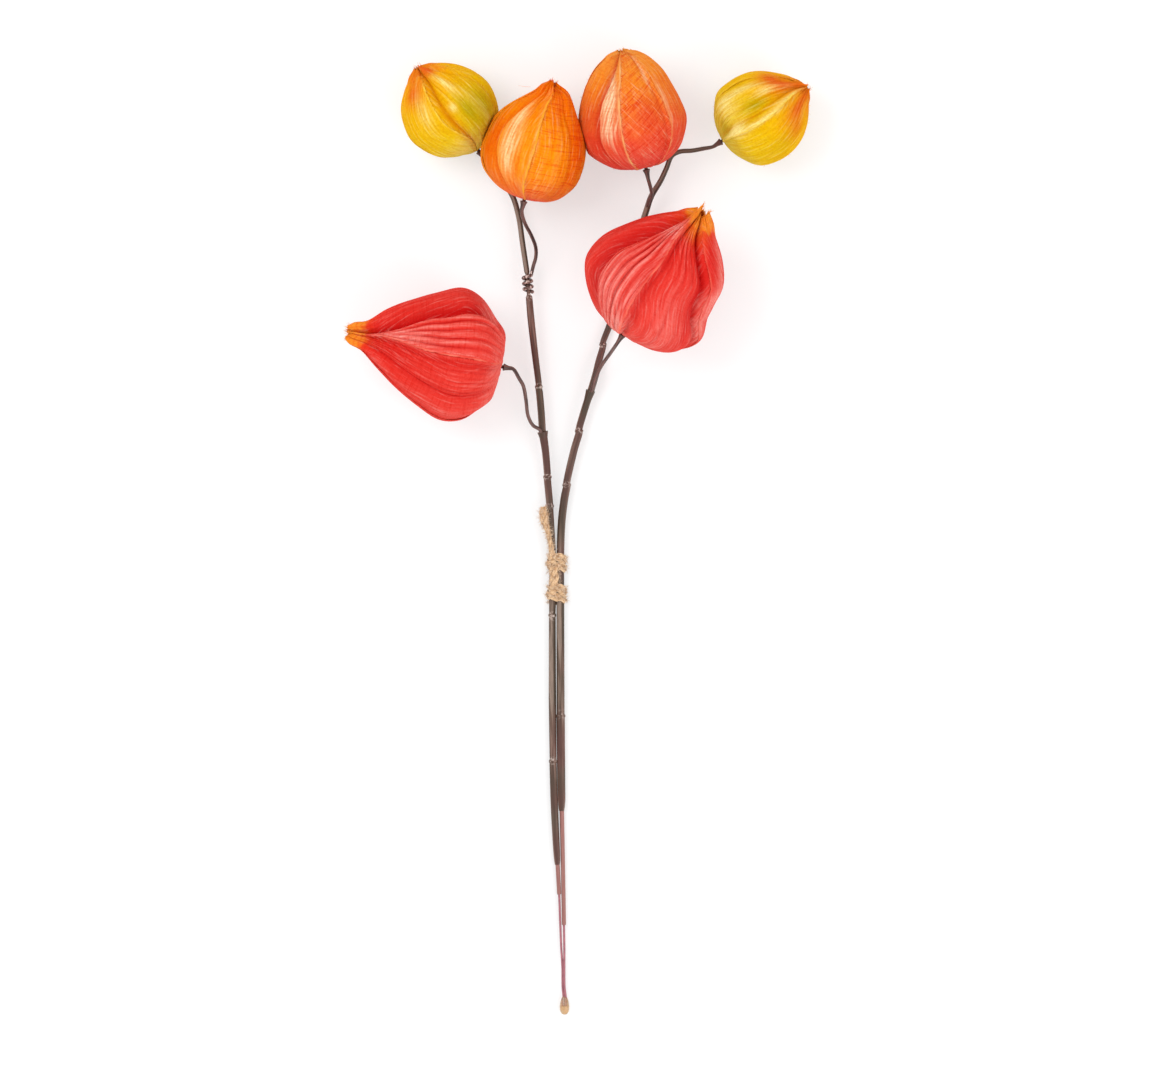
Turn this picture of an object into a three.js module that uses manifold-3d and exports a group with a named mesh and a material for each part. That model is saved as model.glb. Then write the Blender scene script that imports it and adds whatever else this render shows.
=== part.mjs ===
// A bunch of six artificial chinese lanterns, lying on a table.
//
// Two plastic-sleeved wire stems are tied side by side with jute twine. Each carries three lanterns of
// five stiffened fabric petals, held by a bead of glue round a pin. The bare wires at the tail end in one
// drop of glue. Millimetres, +Z up, table at z = 0, +Y towards the lanterns, and the origin is on the
// table under the middle of the bunch.

import * as THREE from 'three';
import { mergeVertices } from 'three/addons/utils/BufferGeometryUtils.js';
import Module from 'manifold-3d';

// Clearances and fabric
const GAP = 0.35;                          // left between pieces that touch
const CLOTH = 0.6;                         // thickness of a stiffened petal
const LAP = 6;                             // degrees of the next petal that a petal's edge covers
const LIFT = (CLOTH + GAP) / 2;            // how far a lapping edge is raised, and a covered one sunk
const SEAM_DEPTH = 0.965;                  // radius along a seam, as a share of the full radius
const TIP_POINT = 1.8;                     // how far a petal's middle runs past its corners at the tip
const PETAL_ROWS = 9;

// Twig ends
const TWIG_RADIUS = 0.95;
const PIN_RADIUS = 0.9;
const PIN_LENGTH = 7;                      // past the lantern's base
const HOLE_RADIUS = 1.7;                   // opening that the petals leave round the pin
const CUP_RADIUS = 1.9;
const CUP_LENGTH = 5;
const CUP_WAIST = 1.2;                     // radius halfway along the cup
const CUP_SETBACK = 1.7;                   // from the cup's mouth to the lantern's base

// Stems
const WIRE_RADIUS = 0.6;
const JACKET_BORE = 0.85;
const JACKET_RADIUS = 1.1;
const SLEEVE_BORE = 1.5;
const UPPER_BORE = 1.0;
const LEFT_SLEEVE_RADIUS = 1.8;
const RIGHT_SLEEVE_RADIUS = 2;
const RING_RISE = 0.25;                    // of a ring moulded round a sleeve
const STEM_SIDES = 8;
const TWIG_SIDES = 6;                      // of twigs and bare wires

// Tie and glue
const STEM_SPACING = 4.15;                 // between the stems' centre lines where they are tied
const TIE_HEIGHT = 3.6;                    // of those centre lines above the table
const TWINE_HALF_WIDTH = 2.1;
const TWINE_HALF_THICKNESS = 0.45;
const TWINE_SIDES = 8;
const TWINE_CLEARANCE = 0.35;              // between the twine and the thicker stem
const DROP_RADIUS = 2.6;
const DROP_LENGTH = 9.4;
const DROP_FLAT = 0.4;                     // how much of its round is missing where it lies on the table
const WIRE_SPREAD = 1.05;                  // of each wire from the drop's middle
const WIRE_DEPTH = 5;                      // of the wires' ends in the drop

// Each lantern: where its base and tip are, its widest radius, and its outline as [share of length, half
// width, sideways bow], both as shares of that radius. Then its five seams, each by its angle at the base,
// the middle and the tip, which petal laps over at each seam (1: the one before it, -1: the one after), and
// across each petal, where its crease runs and how deep it is. Angle 0 faces straight up, and 90 faces the
// right of a lantern that points along +Y.
const LANTERNS = [
  {
    name: 'red_left',
    colour: 0xe63a2e,
    base: [-39.3, 85.8, 28.5],
    tip: [-117, 100.6, 38],
    radius: 35.2,
    outline: [[0.02, 0.44, 0.04], [0.08, 0.69, 0.01], [0.2, 0.92, 0.04], [0.33, 0.99, 0.06],
      [0.5, 0.85, 0.07], [0.65, 0.67, 0.08], [0.8, 0.43, 0.09], [0.92, 0.21, 0.07],
      [0.97, 0.17, 0.07], [1, 0.11, 0.07]],
    seams: [[-86, -84, -80], [1, -5, -8], [51, 32, 6], [126, 122, 112], [206, 206, 202]],
    over: [1, -1, 1, 1, 1],
    creases: [[0.5, 0.93], [0.5, 1], [0.25, 0.92], [0.5, 0.94], [0.5, 0.94]],
  },
  {
    name: 'red_right',
    colour: 0xe83c30,
    base: [24.9, 103.4, 35],
    tip: [63.4, 164, 49.5],
    radius: 37,
    outline: [[0.02, 0.42, 0.03], [0.08, 0.7, 0.07], [0.2, 0.92, 0.03], [0.32, 0.99, -0.03],
      [0.5, 0.92, -0.06], [0.65, 0.82, 0.01], [0.8, 0.61, 0.03], [0.92, 0.35, 0.03], [1, 0.12, 0.02]],
    seams: [[-50, -45, -38], [-21, -15, -23], [84, 60, 36], [152, 146, 130], [226, 224, 220]],
    over: [-1, 1, -1, 1, 1],
    creases: [[0.5, 1], [0.8, 0.94], [0.5, 0.98], [0.5, 0.94], [0.85, 0.88]],
  },
  {
    name: 'orange',
    colour: 0xff8f1c,
    base: [-26.8, 173.2, 27],
    tip: [-13.8, 232.4, 34],
    radius: 27.2,
    outline: [[0.02, 0.38, 0.06], [0.08, 0.65, 0.04], [0.2, 0.9, 0], [0.35, 0.99, -0.02], [0.5, 0.96, -0.02],
      [0.65, 0.85, -0.01], [0.8, 0.63, 0.04], [0.92, 0.38, 0.11], [1, 0.14, 0.06]],
    seams: [[-84, -84, -84], [-16, -9, -11], [84, 84, 84], [152, 152, 152], [216, 216, 216]],
    over: [1, 1, 1, 1, 1],
    creases: [[0.43, 0.9], [0.57, 0.92], [0.5, 0.94], [0.5, 0.94], [0.5, 0.94]],
  },
  {
    name: 'coral',
    colour: 0xf2644a,
    base: [36.2, 189.8, 23],
    tip: [24.2, 249, 32],
    radius: 28.6,
    outline: [[0.02, 0.4, -0.06], [0.08, 0.62, -0.08], [0.2, 0.87, -0.1], [0.35, 1, -0.1],
      [0.5, 0.95, -0.09], [0.65, 0.84, -0.08], [0.8, 0.68, -0.05], [0.92, 0.47, -0.03],
      [0.98, 0.28, -0.02], [1, 0.12, -0.02]],
    seams: [[-100, -98, -96], [-22, -20, -16], [53, 47, 50], [128, 126, 124], [205, 205, 205]],
    over: [1, 1, -1, 1, 1],
    creases: [[0.62, 0.91], [0.6, 0.96], [0.5, 0.94], [0.5, 0.94], [0.5, 0.94]],
  },
  {
    name: 'yellow_left',
    colour: 0xeab71c,
    base: [-51.4, 199, 18],
    tip: [-81.2, 239.6, 27.5],
    radius: 24.9,
    outline: [[0.02, 0.3, 0], [0.08, 0.53, 0.04], [0.2, 0.8, 0.03], [0.45, 0.99, 0], [0.65, 0.92, -0.01],
      [0.8, 0.74, -0.02], [0.92, 0.48, -0.01], [1, 0.15, 0]],
    seams: [[-88, -88, -88], [-9, -22, -18], [56, 56, 56], [132, 132, 132], [216, 216, 216]],
    over: [1, 1, 1, 1, 1],
    creases: [[0.5, 0.94], [0.25, 0.9], [0.5, 0.94], [0.5, 0.94], [0.5, 0.94]],
  },
  {
    name: 'yellow_right',
    colour: 0xedbb22,
    base: [76.8, 203.7, 18.5],
    tip: [118.6, 229.8, 27],
    radius: 24.5,
    outline: [[0.02, 0.32, 0], [0.08, 0.59, -0.02], [0.2, 0.88, -0.02], [0.38, 0.98, 0], [0.55, 0.96, 0.01],
      [0.7, 0.84, 0.01], [0.82, 0.65, 0.01], [0.93, 0.39, -0.01], [1, 0.12, 0]],
    seams: [[-67, -67, -67], [6, 7, -9], [77, 77, 77], [146, 146, 146], [214, 214, 214]],
    over: [1, 1, 1, 1, 1],
    creases: [[0.75, 0.9], [0.5, 0.95], [0.5, 0.94], [0.5, 0.94], [0.5, 0.94]],
  },
];

const lanternNamed = (name) => LANTERNS.find((lantern) => lantern.name === name);
const { degToRad: degrees, lerp, smoothstep } = THREE.MathUtils;
const point = ([x, y, z]) => new THREE.Vector3(x, y, z);

const finishes = {
  sleeve: { color: 0x6b5448, roughness: 0.45, metalness: 0 },
  twig: { color: 0x6a4a44, roughness: 0.5, metalness: 0 },
  jacket: { color: 0xa5706c, roughness: 0.45, metalness: 0 },
  wire: { color: 0xb9737a, roughness: 0.4, metalness: 0.3 },
  jute: { color: 0xd9b07a, roughness: 0.95, metalness: 0 },
  glue: { color: 0xe3c48c, roughness: 0.3, metalness: 0 },
};

const bunch = new THREE.Group();

function addPiece(name, geometry, finish) {
  const piece = new THREE.Mesh(geometry, new THREE.MeshStandardMaterial(finish));
  piece.name = name;
  bunch.add(piece);
}

// Shares the vertices of a closed geometry and moves each one where place() says.
function reshape(geometry, place) {
  geometry.deleteAttribute('normal');
  geometry.deleteAttribute('uv');
  const shape = mergeVertices(geometry, 1e-4);
  const position = shape.attributes.position;
  for (let i = 0; i < position.count; i += 1) {
    const moved = place(new THREE.Vector3().fromBufferAttribute(position, i));
    position.setXYZ(i, moved.x, moved.y, moved.z);
  }
  shape.computeVertexNormals();
  return shape;
}

// ---- Stems and twigs -------------------------------------------------------------------------------

// A smooth route through points [x, y, z, radius], as stations with a centre, a radius and two directions
// square to the route.
function stationsAlong(points, steps) {
  const curve = new THREE.CatmullRomCurve3(points.map(point), false, 'centripetal');
  const count = (points.length - 1) * steps;
  const stations = [];
  let side = new THREE.Vector3(1, 0, 0);
  for (let i = 0; i <= count; i += 1) {
    const along = i / steps;
    const before = Math.min(Math.floor(along), points.length - 2);
    const tangent = curve.getTangent(i / count);
    side = side.clone().addScaledVector(tangent, -side.dot(tangent)).normalize();
    stations.push({
      centre: curve.getPoint(i / count),
      radius: lerp(points[before][3], points[before + 1][3], along - before),
      side,
      third: new THREE.Vector3().crossVectors(side, tangent),
    });
  }
  return stations;
}

// A round stalk through the stations. A bore starts at its first station and ends at station boreEnd,
// or runs right through when boreEnd is the last station.
function stalk(points, { steps = 1, sides = STEM_SIDES, bore = 0, boreEnd = 0 } = {}) {
  const stations = stationsAlong(points, steps);
  const last = stations.length - 1;
  const blindEnd = boreEnd === 0 ? last : boreEnd;
  const profile = [];
  if (bore > 0 && blindEnd < last) {
    profile.push(new THREE.Vector2(0, blindEnd));
  }
  if (bore > 0) {
    for (let i = blindEnd; i >= 0; i -= 1) {
      profile.push(new THREE.Vector2(0.5, i));
    }
  } else {
    profile.push(new THREE.Vector2(0, 0));
  }
  for (let i = 0; i <= last; i += 1) {
    profile.push(new THREE.Vector2(1, i));
  }
  if (bore > 0 && blindEnd === last) {
    profile.push(new THREE.Vector2(0.5, last));
  } else {
    profile.push(new THREE.Vector2(0, last));
  }
  return reshape(new THREE.LatheGeometry(profile, sides), (v) => {
    const station = stations[Math.round(v.y)];
    const spread = Math.hypot(v.x, v.z);
    const radius = spread > 0.75 ? station.radius : bore;
    const scale = spread > 0.25 ? radius / spread : 0;
    return station.centre.clone()
      .addScaledVector(station.side, v.x * scale)
      .addScaledVector(station.third, v.z * scale);
  });
}

// The far end of a twig: a flared cup just behind the lantern's base, then the pin that goes inside.
function cupAndPin(name) {
  const lantern = lanternNamed(name);
  const base = point(lantern.base);
  const axis = point(lantern.tip).sub(base).normalize();
  const at = (distance, radius) => [...base.clone().addScaledVector(axis, distance).toArray(), radius];
  return [
    at(-CUP_SETBACK - CUP_LENGTH, TWIG_RADIUS),
    at(-CUP_SETBACK - CUP_LENGTH / 2, CUP_WAIST),
    at(-CUP_SETBACK, CUP_RADIUS),
    at(-CUP_SETBACK + 0.2, PIN_RADIUS),
    at(PIN_LENGTH, PIN_RADIUS),
  ];
}

// A ring moulded round a sleeve, where one length of it meets the next.
const ring = (x, y, z, radius) => [
  [x, y - 1.5, z, radius],
  [x, y, z, radius + RING_RISE],
  [x, y + 1.2, z, radius - 0.1],
];

// Routes are lists of [x, y, z, outer radius], from the tail towards the lanterns.
const L = LEFT_SLEEVE_RADIUS;
const R = RIGHT_SLEEVE_RADIUS;
const tieX = -10.2;
const leftTieX = tieX - STEM_SPACING / 2;
const rightTieX = tieX + STEM_SPACING / 2;

const leftLower = [
  [-9.9, -175.5, 2.6, 1.65],
  [-10.3, -171, 2.6, 1.7],
  [-10.8, -163, 2.7, 1.75],
  [-11.3, -148, 2.8, L],
  [-11.9, -134, 2.9, L],
  ...ring(-12.2, -119.6, 3, L),
  [-12.4, -87, 3.3, L],
  ...ring(-12.4, -43.5, 3.6, L),
  [leftTieX, -35, TIE_HEIGHT, L],
  [leftTieX, -12, TIE_HEIGHT, L],
  [-13.1, 1, 3.9, L + 0.1],
  ...ring(-13.8, 13.5, 4.6, L + 0.2),
  ...ring(-14.9, 28.6, 5.8, L + 0.15),
  [-15.9, 42, 7, L + 0.15],
  [-16.9, 49, 7.8, L + 0.35],
  [-17.4, 52, 8.1, L + 1.05],
];
addPiece('left_stem_lower', stalk(leftLower, { bore: SLEEVE_BORE, boreEnd: leftLower.length - 1 }),
  finishes.sleeve);

const leftUpper = [
  [-17.5, 52.5, 8.2, 1.9],
  [-18.1, 62, 8.9, 1.9],
  [-19.1, 72.6, 9.4, 1.9],
  ...ring(-19.4, 75.5, 9.5, 1.8),
  [-21.8, 95.7, 10, 1.75],
  [-23.6, 112, 10, 1.85],
  [-24.5, 122.2, 9.8, 1.7],
  [-24.7, 123.6, 9.8, 0.75],
  [-25.4, 133.8, 9.6, 0.75],
  [-25.6, 135.4, 9.6, 1.4],
  [-27.6, 148.7, 9, 1.45],
  [-29.9, 164.3, 8.2, 1.45],
  [-33.2, 175, 7.8, 1.45],
  [-38.6, 182.6, 8.6, 1.4],
  [-43.4, 188, 11.4, 1.2],
  ...cupAndPin('yellow_left'),
];
addPiece('left_stem_upper', stalk(leftUpper, { bore: UPPER_BORE, boreEnd: 2 }), finishes.sleeve);

const rightLower = [
  [-7.2, -145.5, 2.6, 1.65],
  [-7.2, -140, 2.7, R - 0.1],
  [-7.3, -130, 2.8, R],
  ...ring(-7.6, -96, 3.3, R),
  [rightTieX, -35, TIE_HEIGHT, R],
  [rightTieX, -12, TIE_HEIGHT, R],
  [-7.5, 5.2, 3.9, R + 0.05],
  [-6, 17.7, 4.5, R + 0.05],
  ...ring(-4.9, 24.4, 4.8, R),
  [-1, 42.6, 5.4, R - 0.05],
  ...ring(1.6, 52.5, 5.6, R - 0.05),
  [6, 68.5, 5.6, R - 0.05],
  [7.6, 73.6, 5.5, R + 0.5],
];
addPiece('right_stem_lower', stalk(rightLower, { bore: SLEEVE_BORE, boreEnd: rightLower.length - 1 }),
  finishes.sleeve);

const rightUpper = [
  [7.8, 74.1, 5.5, 1.85],
  [10.2, 82, 5, 1.85],
  [12, 89.4, 4.2, 1.8],
  ...ring(14, 97.5, 3.1, 1.7),
  [17.6, 108, 2.2, 1.7],
  [23.8, 128, 2, 1.7],
  [30.2, 147.5, 3, 1.6],
  [36.6, 167, 8.6, 1.55],
  [39.2, 174.6, 11.6, 1.55],
  [44, 182.6, 14.6, 1.35],
  [47, 189, 16, 1.3],
  [49.8, 195.4, 16.6, 1.3],
  [53.8, 197.6, 16.8, 1.3],
  [60.5, 198.2, 17, 1.25],
  [66, 199.2, 17.2, 1.15],
  ...cupAndPin('yellow_right'),
];
addPiece('right_stem_upper', stalk(rightUpper, { bore: UPPER_BORE, boreEnd: 2 }), finishes.sleeve);

addPiece('red_left_twig', stalk([
  [-18.9, 53.2, 11.1, TWIG_RADIUS],
  [-22.3, 55.2, 12.2, TWIG_RADIUS],
  [-25, 60.4, 14.6, TWIG_RADIUS],
  [-26, 68, 18, TWIG_RADIUS],
  [-27.4, 75.6, 21.4, TWIG_RADIUS],
  [-29.6, 79.6, 23.8, TWIG_RADIUS],
  ...cupAndPin('red_left'),
], { steps: 2, sides: TWIG_SIDES }), finishes.twig);

addPiece('red_right_twig', stalk([
  [8.6, 75, 8.9, TWIG_RADIUS],
  [10.6, 81, 9.6, TWIG_RADIUS],
  [13.4, 86.6, 13.4, TWIG_RADIUS],
  [17.4, 92.2, 22, TWIG_RADIUS],
  ...cupAndPin('red_right'),
], { steps: 2, sides: TWIG_SIDES }), finishes.twig);

addPiece('coral_twig', stalk([
  [38, 172.6, 14.2, TWIG_RADIUS],
  [39.3, 175.2, 16.2, TWIG_RADIUS],
  [39, 177.8, 18.8, TWIG_RADIUS],
  ...cupAndPin('coral'),
], { steps: 2, sides: TWIG_SIDES }), finishes.twig);

// The orange lantern's twig starts in a winding round the necked stretch of the left stem.
const WINDING_TURNS = 3;
const WINDING_PITCH = 2.9;
const WINDING_RADIUS = 2.05;
const winding = [];
for (let i = 0; i <= WINDING_TURNS * 8; i += 1) {
  const turn = i / 8;
  const climb = (turn / WINDING_TURNS) * 0.7;
  const angle = (turn + 0.25) * 2 * Math.PI;
  winding.push([
    -24.8 - climb + WINDING_RADIUS * Math.sin(angle),
    124.8 + turn * WINDING_PITCH,
    9.8 - climb * 0.3 + WINDING_RADIUS * Math.cos(angle),
    TWIG_RADIUS,
  ]);
}
addPiece('orange_twig', stalk([
  ...winding,
  [-22.2, 138.4, 9.9, TWIG_RADIUS],
  [-20.9, 143, 11.2, TWIG_RADIUS],
  [-21, 148, 13, TWIG_RADIUS],
  [-23.4, 154.4, 16, TWIG_RADIUS],
  [-26.6, 160.4, 20, TWIG_RADIUS],
  ...cupAndPin('orange'),
], { sides: TWIG_SIDES }), finishes.twig);

// Core wires, bare at the tail, and the thin jackets that show below the sleeves
const dropX = -6;
const dropTop = -242.3;
addPiece('left_core_wire', stalk([
  [dropX - WIRE_SPREAD, dropTop - WIRE_DEPTH, 2.6, WIRE_RADIUS],
  [dropX - WIRE_SPREAD, dropTop, 2.6, WIRE_RADIUS],
  [-7.8, -222, 2.6, WIRE_RADIUS],
  [-8.5, -201, 2.6, WIRE_RADIUS],
  [-9, -189, 2.6, WIRE_RADIUS],
  ...leftLower.map(([x, y, z]) => [x, y, z, WIRE_RADIUS]),
  [-18, 61, 8.8, WIRE_RADIUS],
], { sides: TWIG_SIDES }), finishes.wire);

addPiece('right_core_wire', stalk([
  [dropX + WIRE_SPREAD, dropTop - WIRE_DEPTH, 2.6, WIRE_RADIUS],
  [dropX + WIRE_SPREAD, dropTop, 2.6, WIRE_RADIUS],
  [-6, -222, 2.6, WIRE_RADIUS],
  [-6.2, -205, 2.6, WIRE_RADIUS],
  [-6.6, -175, 2.6, WIRE_RADIUS],
  ...rightLower.map(([x, y, z]) => [x, y, z, WIRE_RADIUS]),
  [10, 81.4, 5, WIRE_RADIUS],
], { sides: TWIG_SIDES }), finishes.wire);

const leftJacket = [
  [-9, -189, 2.6, JACKET_RADIUS],
  [-9.9, -175.5, 2.6, JACKET_RADIUS],
  [-10.3, -171, 2.6, JACKET_RADIUS],
  [-10.8, -163, 2.7, JACKET_RADIUS],
  [-11.3, -148, 2.8, JACKET_RADIUS],
];
addPiece('left_wire_jacket', stalk(leftJacket, { bore: JACKET_BORE, boreEnd: 4 }), finishes.jacket);

const rightJacket = [
  [-6.2, -205, 2.6, JACKET_RADIUS],
  [-6.6, -175, 2.6, JACKET_RADIUS],
  [-7.2, -145.5, 2.6, JACKET_RADIUS],
  [-7.2, -140, 2.7, JACKET_RADIUS],
  [-7.3, -130, 2.8, JACKET_RADIUS],
];
addPiece('right_wire_jacket', stalk(rightJacket, { bore: JACKET_BORE, boreEnd: 4 }), finishes.jacket);

// ---- Lanterns --------------------------------------------------------------------------------------

// The lantern's own directions: along its axis, upwards square to it, and to the right seen from above.
function directionsOf(lantern) {
  const base = point(lantern.base);
  const along = point(lantern.tip).sub(base);
  const length = along.length();
  along.normalize();
  const up = new THREE.Vector3(0, 0, 1).addScaledVector(along, -along.z).normalize();
  const right = new THREE.Vector3().crossVectors(along, up);
  return { base, along, up, right, length };
}

// Planes that a lantern is flattened against: where one lantern leans on another, and then the table.
const leans = new Map(LANTERNS.map(({ name }) => [name, []]));
const table = {
  through: new THREE.Vector3(0, 0, 0),
  outwards: new THREE.Vector3(0, 0, -1),
  skin: CLOTH / 2,
};

// Where the firm lantern is dented by only `dent`, and the soft one takes the rest.
function leanTogether(firmName, softName, dent) {
  const middle = (name) => {
    const { base, along, length } = directionsOf(lanternNamed(name));
    return base.addScaledVector(along, length * 0.4);
  };
  const firmMiddle = middle(firmName);
  const towards = middle(softName).sub(firmMiddle).normalize();
  const contact = firmMiddle.clone().addScaledVector(towards, lanternNamed(firmName).radius - dent);
  const skin = CLOTH / 2 + LIFT;
  leans.get(firmName).push({
    through: contact.clone().addScaledVector(towards, -GAP / 2),
    outwards: towards,
    skin,
  });
  leans.get(softName).push({
    through: contact.clone().addScaledVector(towards, GAP / 2),
    outwards: towards.clone().negate(),
    skin,
  });
}
leanTogether('orange', 'yellow_left', 0.8);
leanTogether('orange', 'coral', 0.8);

// The angle of a seam at a share of the way along the petals.
function angleOf([base, middle, tip], row) {
  return lerp(lerp(base, middle, smoothstep(row, 0.2, 0.55)), tip, smoothstep(row, 0.55, 0.92));
}

// One petal, from its seam with the petal before it to a little past its seam with the next. It is a thin
// box bent over the lantern: across is the angle, along is the outline, and through is the thickness.
function petal(lantern, index) {
  const { base, along, up, right, length } = directionsOf(lantern);
  const outline = new THREE.CatmullRomCurve3([
    new THREE.Vector3(HOLE_RADIUS, 0, 0),
    ...lantern.outline.map(([share, width, bow]) => (
      new THREE.Vector3(width * lantern.radius, share * length, bow * lantern.radius))),
  ]);
  const next = (index + 1) % lantern.seams.length;
  const turn = next === 0 ? 360 : 0;
  const startLift = -lantern.over[index] * LIFT;
  const endLift = lantern.over[next] * LIFT;
  const [creaseShare, creaseDepth] = lantern.creases[index];
  const columnsAt = (row) => {
    const from = angleOf(lantern.seams[index], row);
    const to = angleOf(lantern.seams[next], row) + turn;
    const crease = from + LAP + (to - from - LAP) * creaseShare;
    return [
      { angle: from, depth: SEAM_DEPTH, lift: startLift },
      { angle: from + LAP, depth: SEAM_DEPTH, lift: startLift },
      { angle: lerp(from + LAP, crease, 0.35), depth: 1, lift: 0 },
      { angle: lerp(from + LAP, crease, 0.7), depth: 1, lift: 0 },
      { angle: crease, depth: creaseDepth, lift: 0 },
      { angle: lerp(crease, to, 0.3), depth: 1, lift: 0 },
      { angle: lerp(crease, to, 0.65), depth: 1, lift: 0 },
      { angle: to, depth: SEAM_DEPTH, lift: endLift },
      { angle: to + LAP, depth: SEAM_DEPTH, lift: endLift },
    ];
  };
  const across = columnsAt(0).length - 1;
  const sheet = new THREE.BoxGeometry(1, 1, 1, across, PETAL_ROWS, 1);
  return reshape(sheet, (v) => {
    const row = Math.round((v.y + 0.5) * PETAL_ROWS) / PETAL_ROWS;
    const column = columnsAt(row)[Math.round((v.x + 0.5) * across)];
    const { x: radius, y: distance, z: bow } = outline.getPointAt(row);
    const tangent = outline.getTangentAt(row);
    const offset = column.lift + v.z * CLOTH;
    const reach = radius * column.depth + tangent.y * offset;
    const tipRun = row === 1 && column.lift === 0 ? TIP_POINT * column.depth : 0;
    const angle = degrees(column.angle);
    const at = base.clone()
      .addScaledVector(along, distance - tangent.x * offset + tipRun)
      .addScaledVector(up, reach * Math.cos(angle))
      .addScaledVector(right, reach * Math.sin(angle) + bow);
    for (const { through, outwards, skin } of [...leans.get(lantern.name), table]) {
      const past = at.clone().sub(through).dot(outwards) + skin - offset;
      if (past > 0) {
        at.addScaledVector(outwards, -past);
      }
    }
    return at;
  });
}

// A squat ring of glue round the pin, against the inside of the petals.
function glueBead(lantern) {
  const { base, along, up, right } = directionsOf(lantern);
  const bore = PIN_RADIUS + GAP;
  const profile = [[bore, 2], [3.6, 2.2], [4.2, 3.6], [3.2, 5.4], [bore, 6.2], [bore, 2]];
  const bead = new THREE.LatheGeometry(profile.map(([r, y]) => new THREE.Vector2(r, y)), STEM_SIDES);
  return reshape(bead, (v) => base.clone()
    .addScaledVector(right, v.x)
    .addScaledVector(along, v.y)
    .addScaledVector(up, v.z));
}

for (const lantern of LANTERNS) {
  const fabric = { color: lantern.colour, roughness: 0.8, metalness: 0 };
  for (let index = 0; index < lantern.seams.length; index += 1) {
    addPiece(`${lantern.name}_petal_${index + 1}`, petal(lantern, index), fabric);
  }
  addPiece(`${lantern.name}_glue_bead`, glueBead(lantern), finishes.glue);
}

// ---- Glue drop and twine, joined and cut as solids --------------------------------------------------

const wasm = await Module();
wasm.setup();

function toSolid(geometry) {
  return new wasm.Manifold(new wasm.Mesh({
    numProp: 3,
    vertProperties: new Float32Array(geometry.attributes.position.array),
    triVerts: new Uint32Array(geometry.index.array),
  }));
}

function toGeometry(solid) {
  const mesh = solid.getMesh();
  const geometry = new THREE.BufferGeometry();
  geometry.setAttribute('position', new THREE.BufferAttribute(mesh.vertProperties, 3));
  geometry.setIndex(new THREE.BufferAttribute(mesh.triVerts, 1));
  geometry.computeVertexNormals();
  return geometry;
}

// The drop hangs off the wires' ends as it set, and is flat where it lies on the table.
const DROP_SIDES = 12;
const dropProfile = [
  [0, -DROP_LENGTH], [1.5, -9], [2.4, -7.4], [DROP_RADIUS, -5.4], [2.35, -2.6], [2.1, 0], [0, 0],
];
const drop = reshape(
  new THREE.LatheGeometry(dropProfile.map(([r, y]) => new THREE.Vector2(r, y)), DROP_SIDES),
  (v) => new THREE.Vector3(dropX + v.x, dropTop + v.y, Math.max(DROP_RADIUS - DROP_FLAT + v.z, 0)),
);
const wireHole = (side) => toSolid(stalk([
  [dropX + side * WIRE_SPREAD, dropTop - WIRE_DEPTH - GAP, 2.6, WIRE_RADIUS + GAP],
  [dropX + side * WIRE_SPREAD, dropTop + 1, 2.6, WIRE_RADIUS + GAP],
]));
addPiece('glue_drop', toGeometry(toSolid(drop).subtract(wireHole(-1)).subtract(wireHole(1))), finishes.glue);

// The twine is soft and pulls flat where it is wound. A ribbon of it follows stations that each have a
// centre, the direction out of the stems, and half sizes.
function ribbon(stations) {
  const last = stations.length - 1;
  return reshape(new THREE.CylinderGeometry(1, 1, 1, TWINE_SIDES, last), (v) => {
    const i = Math.round((v.y + 0.5) * last);
    const { centre, out, halfWidth, halfThickness } = stations[i];
    const ahead = stations[Math.min(i + 1, last)].centre;
    const behind = stations[Math.max(i - 1, 0)].centre;
    const across = new THREE.Vector3().subVectors(ahead, behind).cross(out).normalize();
    return centre.clone()
      .addScaledVector(across, v.x * halfWidth)
      .addScaledVector(out, v.z * halfThickness);
  });
}

const wrapRadius = R + TWINE_CLEARANCE + TWINE_HALF_THICKNESS;
const wrapArc = Math.PI * wrapRadius;
const wrapLength = 2 * (wrapArc + STEM_SPACING);

// A place on the oval round both stems, measured clockwise from above the left stem.
function aroundStems(distance, y) {
  const on = ((distance % wrapLength) + wrapLength) % wrapLength;
  let centreX = leftTieX;
  let angle = 0;
  if (on < STEM_SPACING) {
    centreX += on;
  } else if (on < STEM_SPACING + wrapArc) {
    centreX = rightTieX;
    angle = (on - STEM_SPACING) / wrapRadius;
  } else if (on < 2 * STEM_SPACING + wrapArc) {
    centreX = rightTieX - (on - STEM_SPACING - wrapArc);
    angle = Math.PI;
  } else {
    angle = (on - 2 * STEM_SPACING) / wrapRadius;
  }
  const out = new THREE.Vector3(Math.sin(angle), 0, Math.cos(angle));
  return {
    centre: new THREE.Vector3(centreX, y, TIE_HEIGHT).addScaledVector(out, wrapRadius),
    out,
    halfWidth: TWINE_HALF_WIDTH,
    halfThickness: TWINE_HALF_THICKNESS,
  };
}

const WRAP_PITCH = 4.5;
const WRAP_TURNS = 2;
const STATIONS_PER_TURN = 12;

function wrap(top) {
  const stations = [];
  for (let i = 0; i <= WRAP_TURNS * STATIONS_PER_TURN - 2; i += 1) {
    const turn = i / STATIONS_PER_TURN;
    stations.push(aroundStems(turn * wrapLength + 0.8, top - TWINE_HALF_WIDTH - turn * WRAP_PITCH));
  }
  return toSolid(ribbon(stations));
}

function strand(points) {
  return toSolid(ribbon(points.map(([x, y, z, halfWidth, halfThickness]) => ({
    centre: new THREE.Vector3(x, y, z),
    out: new THREE.Vector3(0, 0, 1),
    halfWidth,
    halfThickness,
  }))));
}

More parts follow.
